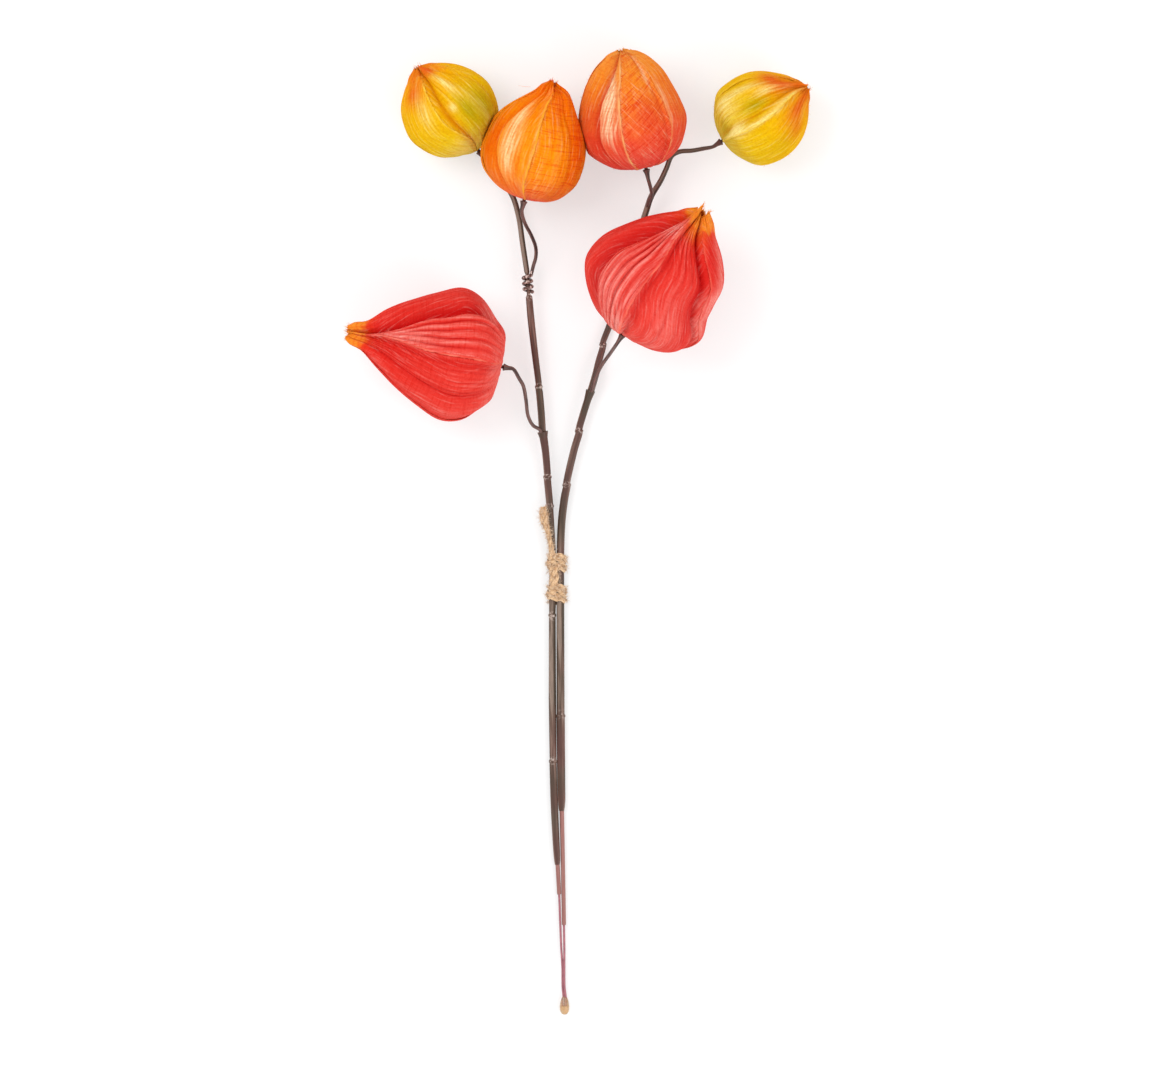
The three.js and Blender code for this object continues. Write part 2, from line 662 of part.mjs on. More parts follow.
const wrapTop = TIE_HEIGHT + wrapRadius;
const tail = strand([
  [-16.8, 13, 9.2, 2.1, 1.2],
  [-16.3, 9.5, 8.9, 2.4, 1.3],
  [-15.4, 4.5, 8.5, 2.2, 1.2],
  [-14, -1, 7.9, 1.7, 1],
  [-13, -6, wrapTop + 0.9, 1.6, 0.9],
  [-12.4, -10.5, wrapTop + 0.5, 1.8, 0.8],
  [leftTieX + 0.3, -14.5, wrapTop + 0.2, 1.9, 0.7],
]);
const column = strand([
  [leftTieX + 0.6, -18, wrapTop + 0.2, 2.1, 0.7],
  [leftTieX + 0.9, -24, wrapTop, 2.2, 0.7],
  [leftTieX + 0.6, -30, wrapTop + 0.2, 2.1, 0.7],
]);
const UPPER_WRAP_TOP = -11;
const LOWER_WRAP_TOP = -27;
const twine = tail.add(wrap(UPPER_WRAP_TOP)).add(column).add(wrap(LOWER_WRAP_TOP));
addPiece('jute_twine', toGeometry(twine), finishes.jute);

// The routes above were laid out round the tie, so the bunch is moved until its middle is over the origin.
const middle = new THREE.Box3().setFromObject(bunch).getCenter(new THREE.Vector3());
for (const piece of bunch.children) {
  piece.geometry.translate(-middle.x, -middle.y, 0);
}

export default bunch;
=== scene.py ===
"""A bunch of six artificial chinese lanterns: two plastic-sleeved wire stems tied with jute twine, with
pods of dyed cloth, lying on a table. Everything is in metres, in the frame of the solids."""

import math
import random

import bmesh
import bpy
from mathutils import Matrix, Vector, noise


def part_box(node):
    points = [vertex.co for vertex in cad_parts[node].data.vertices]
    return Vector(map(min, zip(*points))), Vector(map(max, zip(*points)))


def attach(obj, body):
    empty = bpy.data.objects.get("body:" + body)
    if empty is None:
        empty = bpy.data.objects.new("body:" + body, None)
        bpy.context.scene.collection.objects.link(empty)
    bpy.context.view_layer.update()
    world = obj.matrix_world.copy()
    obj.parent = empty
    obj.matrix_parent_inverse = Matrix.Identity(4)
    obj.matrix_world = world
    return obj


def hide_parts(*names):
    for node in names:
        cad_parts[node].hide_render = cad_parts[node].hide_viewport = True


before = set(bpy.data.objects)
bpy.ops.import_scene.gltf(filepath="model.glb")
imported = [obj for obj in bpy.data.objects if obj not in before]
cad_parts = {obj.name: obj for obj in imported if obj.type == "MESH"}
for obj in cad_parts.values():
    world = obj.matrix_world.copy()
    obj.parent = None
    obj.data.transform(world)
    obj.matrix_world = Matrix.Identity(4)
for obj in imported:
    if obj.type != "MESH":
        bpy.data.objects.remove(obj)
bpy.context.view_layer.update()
scene = bpy.context.scene

# ---- Camera -----------------------------------------------------------------------------------------
# The bunch lies flat and is looked at from straight above, through a lens so long that the lanterns and
# the stems under them keep the same scale.
VIEW_WIDTH = 0.598                      # of the table that the picture takes in
VIEW_HEIGHT = 8.0                       # of the camera above the table
VIEW_LEVEL = 0.02                       # above the table, where the width is measured
VIEW_CENTRE = (-0.00186, -0.00046)
SENSOR_WIDTH = 36

camera_data = bpy.data.cameras.new("camera")
camera_data.sensor_width = SENSOR_WIDTH
camera_data.lens = SENSOR_WIDTH * (VIEW_HEIGHT - VIEW_LEVEL) / VIEW_WIDTH
camera_data.clip_start = 1
camera_data.clip_end = 50
camera = bpy.data.objects.new("camera", camera_data)
camera.location = (*VIEW_CENTRE, VIEW_HEIGHT)
scene.collection.objects.link(camera)
scene.camera = camera
scene.view_settings.view_transform = "Standard"

# ---- Core wires -------------------------------------------------------------------------------------
# Each stem is built on a soft steel wire with a dull pink coat. It runs from the glue drop at the tail
# up inside the sleeves, and is bare only over its last few centimetres.
MM = 0.001
DROP_X = -6.0                           # the layout is in millimetres from the tie
DROP_TOP = -242.3
DROP_LENGTH = 9.4
drop_low, drop_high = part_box("glue_drop")
TO_MIDDLE = Vector((
    (drop_low.x + drop_high.x) / 2 - DROP_X * MM,
    drop_low.y - (DROP_TOP - DROP_LENGTH) * MM,
    0,
))
WIRE_RADIUS = 0.6
WIRE_SPREAD = 0.55                      # of each wire from the middle of the drop
WIRE_DEPTH = 5.0                        # of the wires' ends in the drop
ROUND_SIDES = 20
MAP_UNIT = 100                          # millimetres of a tube or of cloth in one unit of its map
# A pattern's scale is how many of its marks go to a millimetre, times MAP_UNIT on a map and over MM on
# Object coordinates. Round a tube it is how many go round.


def place(x, y, z):
    """A place of the layout as one in the frame."""
    return Vector((x, y, z)) * MM + TO_MIDDLE


def linear(colour):
    """An sRGB hex colour as the linear one that a shader works with."""
    shares = [int(colour[i:i + 2], 16) / 255 for i in (1, 3, 5)]
    return (*[s / 12.92 if s <= 0.04045 else ((s + 0.055) / 1.055) ** 2.4 for s in shares], 1)


def add(tree, kind, inputs=(), ramp=(), **settings):
    """Adds a node with its settings. An input, by its name or its place, takes a value, an output of
    another node, or that node for its first output. A ramp is a list of (position, colour)."""
    node = tree.nodes.new("ShaderNode" + kind)
    for name, value in settings.items():
        setattr(node, name, value)
    for name, value in dict(inputs).items():
        named = [socket for socket in node.inputs if socket.name == name and socket.enabled]
        socket = named[0] if named else node.inputs[name]
        if isinstance(value, bpy.types.Node):
            value = next(output for output in value.outputs if output.enabled)
        if isinstance(value, bpy.types.NodeSocket):
            tree.links.new(value, socket)
        else:
            socket.default_value = value
    while ramp and len(node.color_ramp.elements) < len(ramp):
        node.color_ramp.elements.new(0.5)
    for i, (position, colour) in enumerate(ramp):
        node.color_ramp.elements[i].position = position
        node.color_ramp.elements[i].color = linear(colour)
    return node


def new_material(name):
    """A material with an empty node tree, and that tree."""
    material = bpy.data.materials.new(name)
    material.use_nodes = True
    material.node_tree.nodes.clear()
    return material, material.node_tree


def smooth_curve(points, per_gap):
    """Places on a smooth curve through the points, per_gap of them from each point to the next."""
    spread = [2 * points[0] - points[1], *points, 2 * points[-1] - points[-2]]
    places = []
    for before, start, end, after in zip(spread, spread[1:], spread[2:], spread[3:]):
        first, middle, last = [
            math.sqrt((b - a).length) for a, b in ((before, start), (start, end), (end, after))
        ]
        leave = middle * (
            (start - before) / first - (end - before) / (first + middle) + (end - start) / middle
        )
        arrive = middle * (
            (end - start) / middle - (after - start) / (middle + last) + (after - end) / last
        )
        for i in range(per_gap):
            s = i / per_gap
            places.append(
                start + leave * s
                + (3 * (end - start) - 2 * leave - arrive) * s ** 2
                + (2 * (start - end) + leave + arrive) * s ** 3
            )
    places.append(points[-1])
    return places


def between(values, i, per_gap):
    """The value at place i of a smooth curve whose points have these values."""
    gap = min(i // per_gap, len(values) - 2)
    share = i / per_gap - gap
    return values[gap] * (1 - share) + values[gap + 1] * share


def stations_along(route, per_gap, same_radius=0):
    """A route of [x, y, z, radius] in millimetres, as (centre, radius, side, third, run) in metres. Stops
    without a radius of their own have the same one."""
    centres = smooth_curve([place(*stop[:3]) for stop in route], per_gap)
    radii = [(*stop, same_radius)[3] for stop in route]
    last = len(centres) - 1
    side = Vector((1, 0, 0))
    run = 0
    stations = []
    for i, centre in enumerate(centres):
        ahead = (centres[min(i + 1, last)] - centres[max(i - 1, 0)]).normalized()
        side = (side - ahead * side.dot(ahead)).normalized()
        if i > 0:
            run += (centre - centres[i - 1]).length
        stations.append((centre, MM * between(radii, i, per_gap), side, ahead.cross(side), run))
    return stations


def tube(stations, sides, relief=None):
    """A grid rolled up round the stations, with its ends filled. relief gives how far the skin stands
    proud at a turn from 0 to 1 and a run along the tube."""
    bm = bmesh.new()
    uv_layer = bm.loops.layers.uv.verify()                  # the grid fills it only if it is there
    last = len(stations) - 1
    bmesh.ops.create_grid(bm, x_segments=sides, y_segments=last, size=0.5, calc_uvs=True)
    for vert in bm.verts:
        turn = vert.co.x + 0.5
        centre, radius, side, third, run = stations[round((vert.co.y + 0.5) * last)]
        reach = radius + (relief(turn % 1, run) if relief else 0)
        angle = turn * 2 * math.pi
        vert.co = centre + side * reach * math.cos(angle) + third * reach * math.sin(angle)
    for face in bm.faces:
        for loop in face.loops:
            uv = loop[uv_layer].uv
            uv.y = stations[round(uv.y * last)][4] / (MAP_UNIT * MM)
    bmesh.ops.remove_doubles(bm, verts=bm.verts, dist=1e-7)
    bmesh.ops.holes_fill(bm, edges=[edge for edge in bm.edges if edge.is_boundary])
    bmesh.ops.recalc_face_normals(bm, faces=bm.faces)
    return bm


def finish_piece(name, bm, material, slot, *nodes):
    """The bmesh as a piece of the bunch, standing for its solids."""
    mesh = bpy.data.meshes.new(name)
    bm.to_mesh(mesh)
    bm.free()
    mesh.shade_smooth()
    mesh.materials.append(material)
    piece = bpy.data.objects.new(name, mesh)
    scene.collection.objects.link(piece)
    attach(piece, "root")
    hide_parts(*nodes)
    return piece


def finish_material(tree, colour, height, strength, depth, finish):
    """Ends a material: its colour, its height as a bump of a depth in millimetres, and its finish."""
    bump = add(tree, "Bump", {"Height": height, "Strength": strength, "Distance": depth * MM})
    shader = add(tree, "BsdfPrincipled", {"Base Color": colour, "Normal": bump, **finish})
    add(tree, "OutputMaterial", {"Surface": shader})


# Coated steel wire: dull and smooth, so its pink only gets a little darker and paler along its length.
wire_material, tree = new_material("coated_steel_wire")
coords = add(tree, "TexCoord")
stretch = add(tree, "Mapping", {"Vector": coords.outputs["UV"], "Scale": (9, 0.36 * MAP_UNIT, 1)})
mottle = add(tree, "TexNoise", {"Vector": stretch, "Scale": 1, "Detail": 3})
tint = add(tree, "ValToRGB", {"Fac": mottle}, [(0.35, "#874E59"), (0.65, "#A9666E")])
finish_material(tree, tint, mottle, 0.2, 0.1, {"Roughness": 0.42, "IOR": 1.5})

wire_routes = {
    "left": [
        [DROP_X - WIRE_SPREAD, DROP_TOP - WIRE_DEPTH, 2.2], [DROP_X - WIRE_SPREAD, DROP_TOP, 2.2],
        [-7, -237, 2.3], [-7.1, -227, 2.3], [-7.7, -217, 2.5], [-8.35, -201, 2.6], [-8.8, -189, 2.6],
        [-9.5, -176, 2.6], [-10.3, -163, 2.7], [-11, -148, 2.8],
    ],
    "right": [
        [DROP_X + WIRE_SPREAD, DROP_TOP - WIRE_DEPTH, 2.9], [DROP_X + WIRE_SPREAD, DROP_TOP, 2.9],
        [-6, -237, 3], [-6.1, -227, 3], [-6.1, -217, 2.8], [-6.3, -205, 2.6], [-6.8, -175, 2.6],
        [-7.4, -145.5, 2.6], [-7.6, -130, 2.8],
    ],
}
for side_name, route in wire_routes.items():
    bm = tube(stations_along(route, per_gap=6, same_radius=WIRE_RADIUS), ROUND_SIDES)
    finish_piece(side_name + "_wire", bm, wire_material, "core_wire", side_name + "_core_wire")

# ---- Jackets ----------------------------------------------------------------------------------------
# A thin tube of pinkish plastic is pushed up each wire and into the sleeve's end. It is cut off square,
# and shows for a few centimetres.
JACKET_RADIUS = 1.1

# Soft vinyl tube: a thin satin skin, faintly ribbed along its length by the die it was drawn through.
jacket_material, tree = new_material("vinyl_tube")
coords = add(tree, "TexCoord")
stretch = add(tree, "Mapping", {"Vector": coords.outputs["UV"], "Scale": (20, 0.06 * MAP_UNIT, 1)})
mottle = add(tree, "TexNoise", {"Vector": stretch, "Scale": 1, "Detail": 4})
tint = add(tree, "ValToRGB", {"Fac": mottle}, [(0.3, "#7A4A43"), (0.7, "#A06C64")])
finish_material(tree, tint, mottle, 0.3, 0.1, {"Roughness": 0.45, "IOR": 1.5})

jacket_routes = {
    "left": [
        [-8.8, -189, 2.6, JACKET_RADIUS - 0.1], [-8.85, -188.2, 2.6], [-9.5, -176, 2.6],
        [-10, -168, 2.6], [-10.3, -163, 2.7], [-11, -148, 2.8],
    ],
    "right": [
        [-6.3, -205, 2.6, JACKET_RADIUS - 0.1], [-6.3, -204.2, 2.6], [-6.8, -175, 2.6],
        [-7.4, -145.5, 2.6, JACKET_RADIUS + 0.1], [-7.6, -130, 2.8],
    ],
}
for side_name, route in jacket_routes.items():
    bm = tube(stations_along(route, per_gap=6, same_radius=JACKET_RADIUS), ROUND_SIDES)
    finish_piece(side_name + "_jacket", bm, jacket_material, "wire_jacket", side_name + "_wire_jacket")

# ---- Sleeves ----------------------------------------------------------------------------------------
# The stems are moulded plastic sleeves threaded on the wires, made to look like brown stalks with rings.
# The lower one of each stem ends in a flared collar, and the thinner upper one stands in it.
LEFT_RADIUS = 1.8
RIGHT_RADIUS = 2.0
RING_RISE = 0.3
RING_REACH = 2.1                        # of the rubbed and highlighted specks about the middle of a ring
RUB_AND_GLINT_STRENGTH = 0.85
RUB_AND_GLINT_FADE = 0.5                          # past that reach
FLUTE_DEPTH = 0.09
DENT_DEPTH = 0.05
SLEEVE_SIDES = 28
TWIG_RADIUS = 0.95
PIN_RADIUS = 0.9
PIN_LENGTH = 7.0
CUP_RADIUS = 1.9
CUP_LENGTH = 5.0
CUP_SETBACK = 1.7
STEM_SPACING = 4.15
TIE_HEIGHT = 3.6
TIE_X = -10.2
LEFT_TIE_X = TIE_X - STEM_SPACING / 2
RIGHT_TIE_X = TIE_X + STEM_SPACING / 2

POD_ENDS = {                            # each pod's base, where its stalk goes in, and its tip
    "red_left": ((-39.3, 85.8, 28.5), (-117, 100.6, 38)),
    "red_right": ((24.9, 103.4, 35), (63.4, 164, 49.5)),
    "orange": ((-26.8, 173.2, 27), (-13.8, 232.4, 34)),
    "coral": ((36.2, 189.8, 23), (24.2, 249, 32)),
    "yellow_left": ((-51.4, 199, 18), (-81.2, 239.6, 27.5)),
    "yellow_right": ((76.8, 203.7, 18.5), (118.6, 229.8, 27)),
}


def directions_of(pod):
    """A pod's base, and its directions along itself, up, and to the right of both."""
    base, tip = [Vector(end) for end in POD_ENDS[pod]]
    axis = (tip - base).normalized()
    up = (Vector((0, 0, 1)) - axis * axis.z).normalized()
    return base, axis, up, axis.cross(up)


def along_pod(pod, profile):
    """A route along a pod's axis, from a profile of (distance from its base, radius)."""
    base, axis = directions_of(pod)[:2]
    return [[*(base + axis * distance), radius] for distance, radius in profile]


def cup_and_pin(pod):
    """The end of a stalk: a flared cup just behind the pod's base, then the pin that goes inside."""
    return along_pod(pod, [
        (-CUP_SETBACK - CUP_LENGTH, TWIG_RADIUS), (-CUP_SETBACK - CUP_LENGTH / 2, 1.2),
        (-CUP_SETBACK - CUP_LENGTH / 4, 1.5), (-CUP_SETBACK - 0.5, CUP_RADIUS - 0.1),
        (-CUP_SETBACK, CUP_RADIUS), (-CUP_SETBACK + 0.2, CUP_RADIUS - 0.3),
        (-CUP_SETBACK + 0.3, PIN_RADIUS), (PIN_LENGTH, PIN_RADIUS),
    ])


def ring(x, y, z, radius):
    """A ring moulded round a sleeve, with a step down above it."""
    return [
        [x, y - 1.1, z, radius], [x, y - 0.4, z, radius + RING_RISE],
        [x, y + 0.3, z, radius + RING_RISE], [x, y + 1.0, z, radius - 0.12],
    ]


sleeve_routes = {
    "left_stem_lower": [
        [-9.7, -173.5, 2.6, 1.3], [-9.8, -171.5, 2.6, 1.6], [-10, -168, 2.6, 1.75],
        [-10.3, -163, 2.7, LEFT_RADIUS], [-11.05, -148, 2.8, LEFT_RADIUS + 0.1],
        [-11.6, -134, 2.9, LEFT_RADIUS + 0.1], *ring(-12, -119.6, 3, LEFT_RADIUS + 0.1),
        [-12.3, -87, 3.3, LEFT_RADIUS + 0.1], *ring(-12.4, -43.5, 3.6, LEFT_RADIUS),
        [LEFT_TIE_X, -35, TIE_HEIGHT, LEFT_RADIUS], [LEFT_TIE_X, -12, TIE_HEIGHT, LEFT_RADIUS],
        [-13.1, 1, 3.9, LEFT_RADIUS + 0.1], *ring(-13.8, 13.5, 4.6, LEFT_RADIUS + 0.2),
        *ring(-14.9, 28.6, 5.8, LEFT_RADIUS + 0.15), [-15.9, 42, 7, LEFT_RADIUS + 0.15],
        [-16.9, 49, 7.8, LEFT_RADIUS + 0.35], [-17.2, 51, 8, LEFT_RADIUS + 0.8],
        [-17.4, 52, 8.1, LEFT_RADIUS + 1.05],
    ],
    "left_stem_upper": [
        [-17.5, 51.5, 8.2, 1.9], [-18.1, 62, 8.9, 1.9], [-19.1, 72.6, 9.4, 1.9],
        *ring(-19.4, 75.5, 9.5, 1.8), [-21.8, 95.7, 10, 1.75], [-23.6, 112, 10, 1.85],
        [-24.5, 122.2, 9.8, 1.7], [-24.7, 123.6, 9.8, 0.9], [-25.4, 133.8, 9.6, 0.9],
        [-25.6, 135.4, 9.6, 1.4], [-27.6, 148.7, 9, 1.45], [-29.9, 164.3, 8.2, 1.45],
        [-33.2, 175, 7.8, 1.45], [-38.6, 182.6, 8.6, 1.4], [-43.4, 188, 11.4, 1.2],
        *cup_and_pin("yellow_left"),
    ],
    "right_stem_lower": [
        [-7.5, -145.5, 2.6, 1.35], [-7.5, -143.5, 2.6, 1.65], [-7.5, -140, 2.7, RIGHT_RADIUS],
        [-7.7, -130, 2.8, RIGHT_RADIUS + 0.1], *ring(-8, -96, 3.3, RIGHT_RADIUS + 0.2),
        [RIGHT_TIE_X, -35, TIE_HEIGHT, RIGHT_RADIUS], [RIGHT_TIE_X, -12, TIE_HEIGHT, RIGHT_RADIUS],
        [-7.5, 5.2, 3.9, RIGHT_RADIUS + 0.05], [-6, 17.7, 4.5, RIGHT_RADIUS + 0.05],
        *ring(-4.9, 24.4, 4.8, RIGHT_RADIUS), [-1, 42.6, 5.4, RIGHT_RADIUS - 0.05],
        *ring(1.6, 52.5, 5.6, RIGHT_RADIUS - 0.05), [6, 68.5, 5.6, RIGHT_RADIUS - 0.05],
        [7.3, 72.6, 5.5, RIGHT_RADIUS + 0.4], [7.6, 73.6, 5.5, RIGHT_RADIUS + 0.5],
    ],
    "right_stem_upper": [
        [7.6, 73.2, 5.5, 1.85], [10.2, 82, 5, 1.85], [12, 89.4, 4.2, 1.8], *ring(14, 97.5, 3.1, 1.7),
        [17.6, 108, 2.2, 1.7], [23.8, 128, 2, 1.7], [30.2, 147.5, 3, 1.6], [36.6, 167, 8.6, 1.55],
        [39.2, 174.6, 11.6, 1.5], [44, 182.6, 14.6, 1.35], [47, 189, 16, 1.3],
        [49.8, 195.4, 16.6, 1.25], [53.8, 197.6, 16.8, 1.2], [60.5, 198.2, 17, 1.15],
        [66, 199.2, 17.2, 1.1], *cup_and_pin("yellow_right"),
    ],
}
# Where the sleeves get pale specks: partly rubbed-off colour, partly painted highlight on the ring edges.
rubbed_and_highlighted_places = {                       # the rings, the collars and the neck that the winding sits on
    "left_stem_lower": [
        (-12, -119.6, 3), (-12.4, -43.5, 3.6), (-13.8, 13.5, 4.6), (-14.9, 28.6, 5.8), (-17.4, 52, 8.1),
    ],
    "left_stem_upper": [(-19.4, 75.5, 9.5), (-24.5, 122.2, 9.8)],
    "right_stem_lower": [(-8, -96, 3.3), (-4.9, 24.4, 4.8), (1.6, 52.5, 5.6), (7.6, 73.6, 5.5)],
    "right_stem_upper": [(14, 97.5, 3.1)],
}


def mark_rubs_and_glints(bm, spots, reach):
    """Marks pale specks within a reach of the spots: rubbed-off colour with painted highlight on the
    sleeves' rings, painted glints on the winding.
    """
    rubbed_and_glint = bm.verts.layers.float.new("rubbed_and_glint")
    for vert in bm.verts:
        near = min((vert.co - spot).length for spot in spots)
        vert[rubbed_and_glint] = RUB_AND_GLINT_STRENGTH * max(0, 1 - max(0, near - reach) / (RUB_AND_GLINT_FADE * MM))


def with_rubs_and_glints(tree, coords, colour, bare_and_glint_colour, least, detail):
    """A colour with pale specks where the piece is marked, which start at the least value of a noise:
    rubbed-off colour and painted highlight at the rings, painted glints on the winding.
    """
    specks = add(tree, "TexNoise", {"Vector": coords.outputs["Object"], "Scale": 0.9 / MM, "Detail": detail})
    bare_and_glint = add(tree, "MapRange", {"Value": specks, "From Min": least, "From Max": 0.6})
    rubbed_and_glint = add(tree, "Attribute", attribute_name="rubbed_and_glint")
    # The specks' share: rubbed-off colour and painted highlight at the rings, painted glints on the winding.
    worn = add(tree, "Math", {0: bare_and_glint, 1: rubbed_and_glint.outputs["Fac"]}, operation="MULTIPLY")
    return add(tree, "Mix", {"Factor": worn, "A": colour, "B": linear(bare_and_glint_colour)}, data_type="RGBA")


# Moulded polyethylene: a waxy brown, with long streaks paler and darker along the stalk and fine lines in
# them, olive in places and reddish in others, and pale specks at the rings, partly rubbed-off colour and
# partly painted highlight on the ring edges.
sleeve_material, tree = new_material("moulded_polyethylene")
coords = add(tree, "TexCoord")
streak_map = add(tree, "Mapping", {"Vector": coords.outputs["UV"], "Scale": (3.2, 0.015 * MAP_UNIT, 1)})
streak = add(tree, "TexNoise", {"Vector": streak_map, "Scale": 1, "Detail": 3})
brown = add(tree, "ValToRGB", {"Fac": streak}, [(0.42, "#2E1F19"), (0.5, "#624A40"), (0.57, "#9A8478")])
grain_map = add(tree, "Mapping", {"Vector": coords.outputs["UV"], "Scale": (14, 0.084 * MAP_UNIT, 1)})
grain = add(tree, "TexNoise", {"Vector": grain_map, "Scale": 1, "Detail": 5, "Roughness": 0.62})
lines = add(tree, "MapRange", {
    "Value": grain, "From Min": 0.36, "From Max": 0.6, "To Min": 0.5, "To Max": 1,
})
lined = add(tree, "Mix", {"Factor": 1, "A": brown, "B": lines}, data_type="RGBA", blend_type="MULTIPLY")
patches = add(tree, "TexNoise", {"Vector": coords.outputs["Object"], "Scale": 0.03 / MM, "Detail": 2})
cast = add(tree, "ValToRGB", {"Fac": patches}, [(0.42, "#5C4C38"), (0.58, "#75473E")])
toned = add(tree, "Mix", {"Factor": 0.35, "A": lined, "B": cast}, data_type="RGBA")
skin = with_rubs_and_glints(tree, coords, toned, "#B9A79E", 0.5, 2)
finish_material(tree, skin, grain, 0.5, 0.2, {"Roughness": 0.5, "Specular IOR Level": 0.35})


def stalk_relief(seed):
    """Shallow flutes and dents of a moulded stalk."""
    def relief(turn, run):
        """How far the skin stands proud there."""
        angle = turn * 2 * math.pi
        around = Vector((math.cos(angle) * 1.6, math.sin(angle) * 1.6, run * 28 + seed))
        return FLUTE_DEPTH * MM * noise.noise(around) + DENT_DEPTH * MM * noise.noise(around * 2.7)
    return relief


for seed, (node, route) in enumerate(sleeve_routes.items()):
    bm = tube(stations_along(route, per_gap=8), SLEEVE_SIDES, stalk_relief(seed * 7.3))
    mark_rubs_and_glints(bm, [place(*at) for at in rubbed_and_highlighted_places[node]], RING_REACH * MM)
    finish_piece(node.replace("stem", "sleeve"), bm, sleeve_material, "sleeve_plastic", node)

# ---- Twigs ------------------------------------------------------------------------------------------
# Each other lantern hangs on a thin coated wire. One lies along its stem out of a collar, one leaves a
# fork, and the orange lantern's is wound three times round a neck in the left stem.
TWIG_SIDES = 16
NECK = Vector((-24.8, 124.8, 9.8))
NECK_LEAN = Vector((-0.7, 0, -0.21))    # of the neck over the length of the winding
NECK_GLINT_REACH = 3.2                        # of the painted glints about the middle of the neck
NECK_GLINT_SPOTS = 10
WINDING_TURNS = 3
WINDING_STOPS = 12                      # in each turn
WINDING_PITCH = 2.9
WINDING_RADIUS = 2.05

winding = []
for i in range(WINDING_TURNS * WINDING_STOPS + 1):
    turn = i / WINDING_STOPS
    angle = (turn + 0.25) * 2 * math.pi
    centre = NECK + NECK_LEAN * turn / WINDING_TURNS
    winding.append([
        centre.x + WINDING_RADIUS * math.sin(angle),
        centre.y + turn * WINDING_PITCH,
        centre.z + WINDING_RADIUS * math.cos(angle),
    ])
twig_routes = {
    "red_left": [
        [-17.9, 51.2, 9.4], [-18.9, 53.2, 11.1], [-22.3, 55.2, 12.2], [-25, 60.4, 14.6],
        [-26, 68, 18], [-27.4, 75.6, 21.4], [-29.6, 79.6, 23.8],
    ],
    "red_right": [[7.9, 73, 7], [8.6, 75, 8.6], [10.6, 81, 9.6], [13.4, 86.6, 13.4], [17.4, 92.2, 22]],
    "coral": [[37, 169, 9.6], [38, 172.6, 14.2], [39.3, 175.2, 16.2], [39, 177.8, 18.8]],
    "orange": [
        *winding, [-22.2, 138.4, 9.9], [-20.9, 143, 11.2], [-21, 148, 13], [-23.4, 154.4, 16],
        [-26.6, 160.4, 20],
    ],
}

# Coated wire, dipped in the same brown as the sleeves but thinner and glossier, with pale specks of painted
# glint, a painted highlight, on the winding.
twig_material, tree = new_material("coated_twig_wire")
coords = add(tree, "TexCoord")
grain_map = add(tree, "Mapping", {"Vector": coords.outputs["UV"], "Scale": (4.8, 0.06 * MAP_UNIT, 1)})
grain = add(tree, "TexNoise", {"Vector": grain_map, "Scale": 1, "Detail": 4, "Roughness": 0.6})
brown = add(tree, "ValToRGB", {"Fac": grain}, [(0.38, "#2C1A17"), (0.64, "#7E5C54")])
skin = with_rubs_and_glints(tree, coords, brown, "#D3BDB4", 0.54, 1)
finish_material(tree, skin, grain, 0.4, 0.1, {"Roughness": 0.42, "Specular IOR Level": 0.35})

# Spots along the neck where the winding gets painted glints.
neck_glint_spots = []
for i in range(NECK_GLINT_SPOTS):
    along = WINDING_PITCH * WINDING_TURNS * i / (NECK_GLINT_SPOTS - 1)
    neck_glint_spots.append(place(*(NECK + Vector((0, along, 0)))))
for seed, (pod, route) in enumerate(twig_routes.items()):
    stations = stations_along([*route, *cup_and_pin(pod)], per_gap=4, same_radius=TWIG_RADIUS)
    bm = tube(stations, TWIG_SIDES, stalk_relief(40 + seed))
    mark_rubs_and_glints(bm, neck_glint_spots, NECK_GLINT_REACH * MM)
    finish_piece(pod + "_stalk", bm, twig_material, "twig_plastic", pod + "_twig")

# ---- Glue beads -------------------------------------------------------------------------------------
# Inside each pod's base a bead of hot glue sits round the pin of its stalk and holds the petals to it.
# It is out of sight behind the cloth.
BEAD_PROFILE = [(2, 0.95), (2.2, 3.6), (3.6, 4.2), (5.4, 3.2), (6.2, 0.95)]  # (from the base, radius)
BEAD_SIDES = 24

# Hot-melt glue: clear amber with a wax shine, and cloudier where fine bubbles were caught in it.
glue_material, tree = new_material("hot_melt_glue")
coords = add(tree, "TexCoord")
cloud = add(tree, "TexNoise", {"Vector": coords.outputs["Object"], "Scale": 0.42 / MM, "Detail": 3})
tint = add(tree, "ValToRGB", {"Fac": cloud}, [(0.35, "#F2C68E"), (0.7, "#FFF0D2")])
finish_material(tree, tint, cloud, 0.25, 0.2, {"Roughness": 0.16, "Transmission Weight": 0.8, "IOR": 1.48})

for pod in POD_ENDS:
    bm = tube(stations_along(along_pod(pod, BEAD_PROFILE), per_gap=5), BEAD_SIDES)
    finish_piece(pod + "_bead", bm, glue_material, "glue", pod + "_glue_bead")

# ---- Petals -----------------------------------------------------------------------------------------
# Each pod is five leaf-shaped petals of dyed and stiffened cloth, pleated by hand and glued along their
# edges, where one petal's raw edge lies over the next petal. The outline is that of the solids, as [share
# of length, half width, sideways bow]. Angles go round the pod: 0 faces straight up from the table and 90
# faces right on a pod that points along +Y. A line along the pod has three of them: base, middle, tip.
CLOTH = 0.35                            # thickness
CLEAR = 0.4                             # of a lapping edge over the petal under it
LAP = 6.0                               # degrees of a petal that lie over the next one
LAP_FADE = 12.0                         # degrees over which it comes back down
FOLD_SHADING = 9                            # of painted shade in a fold, for each share of the radius that it is deep
SEAM_DIP = 0.03                         # of the radius, at a seam that is fully open
SEAM_REACH = 8.0                        # degrees
RAGGED = (0.5, 0.3)                     # of a raw edge, broad and fine
CURL = 0.15                             # of a raw edge away from the pod
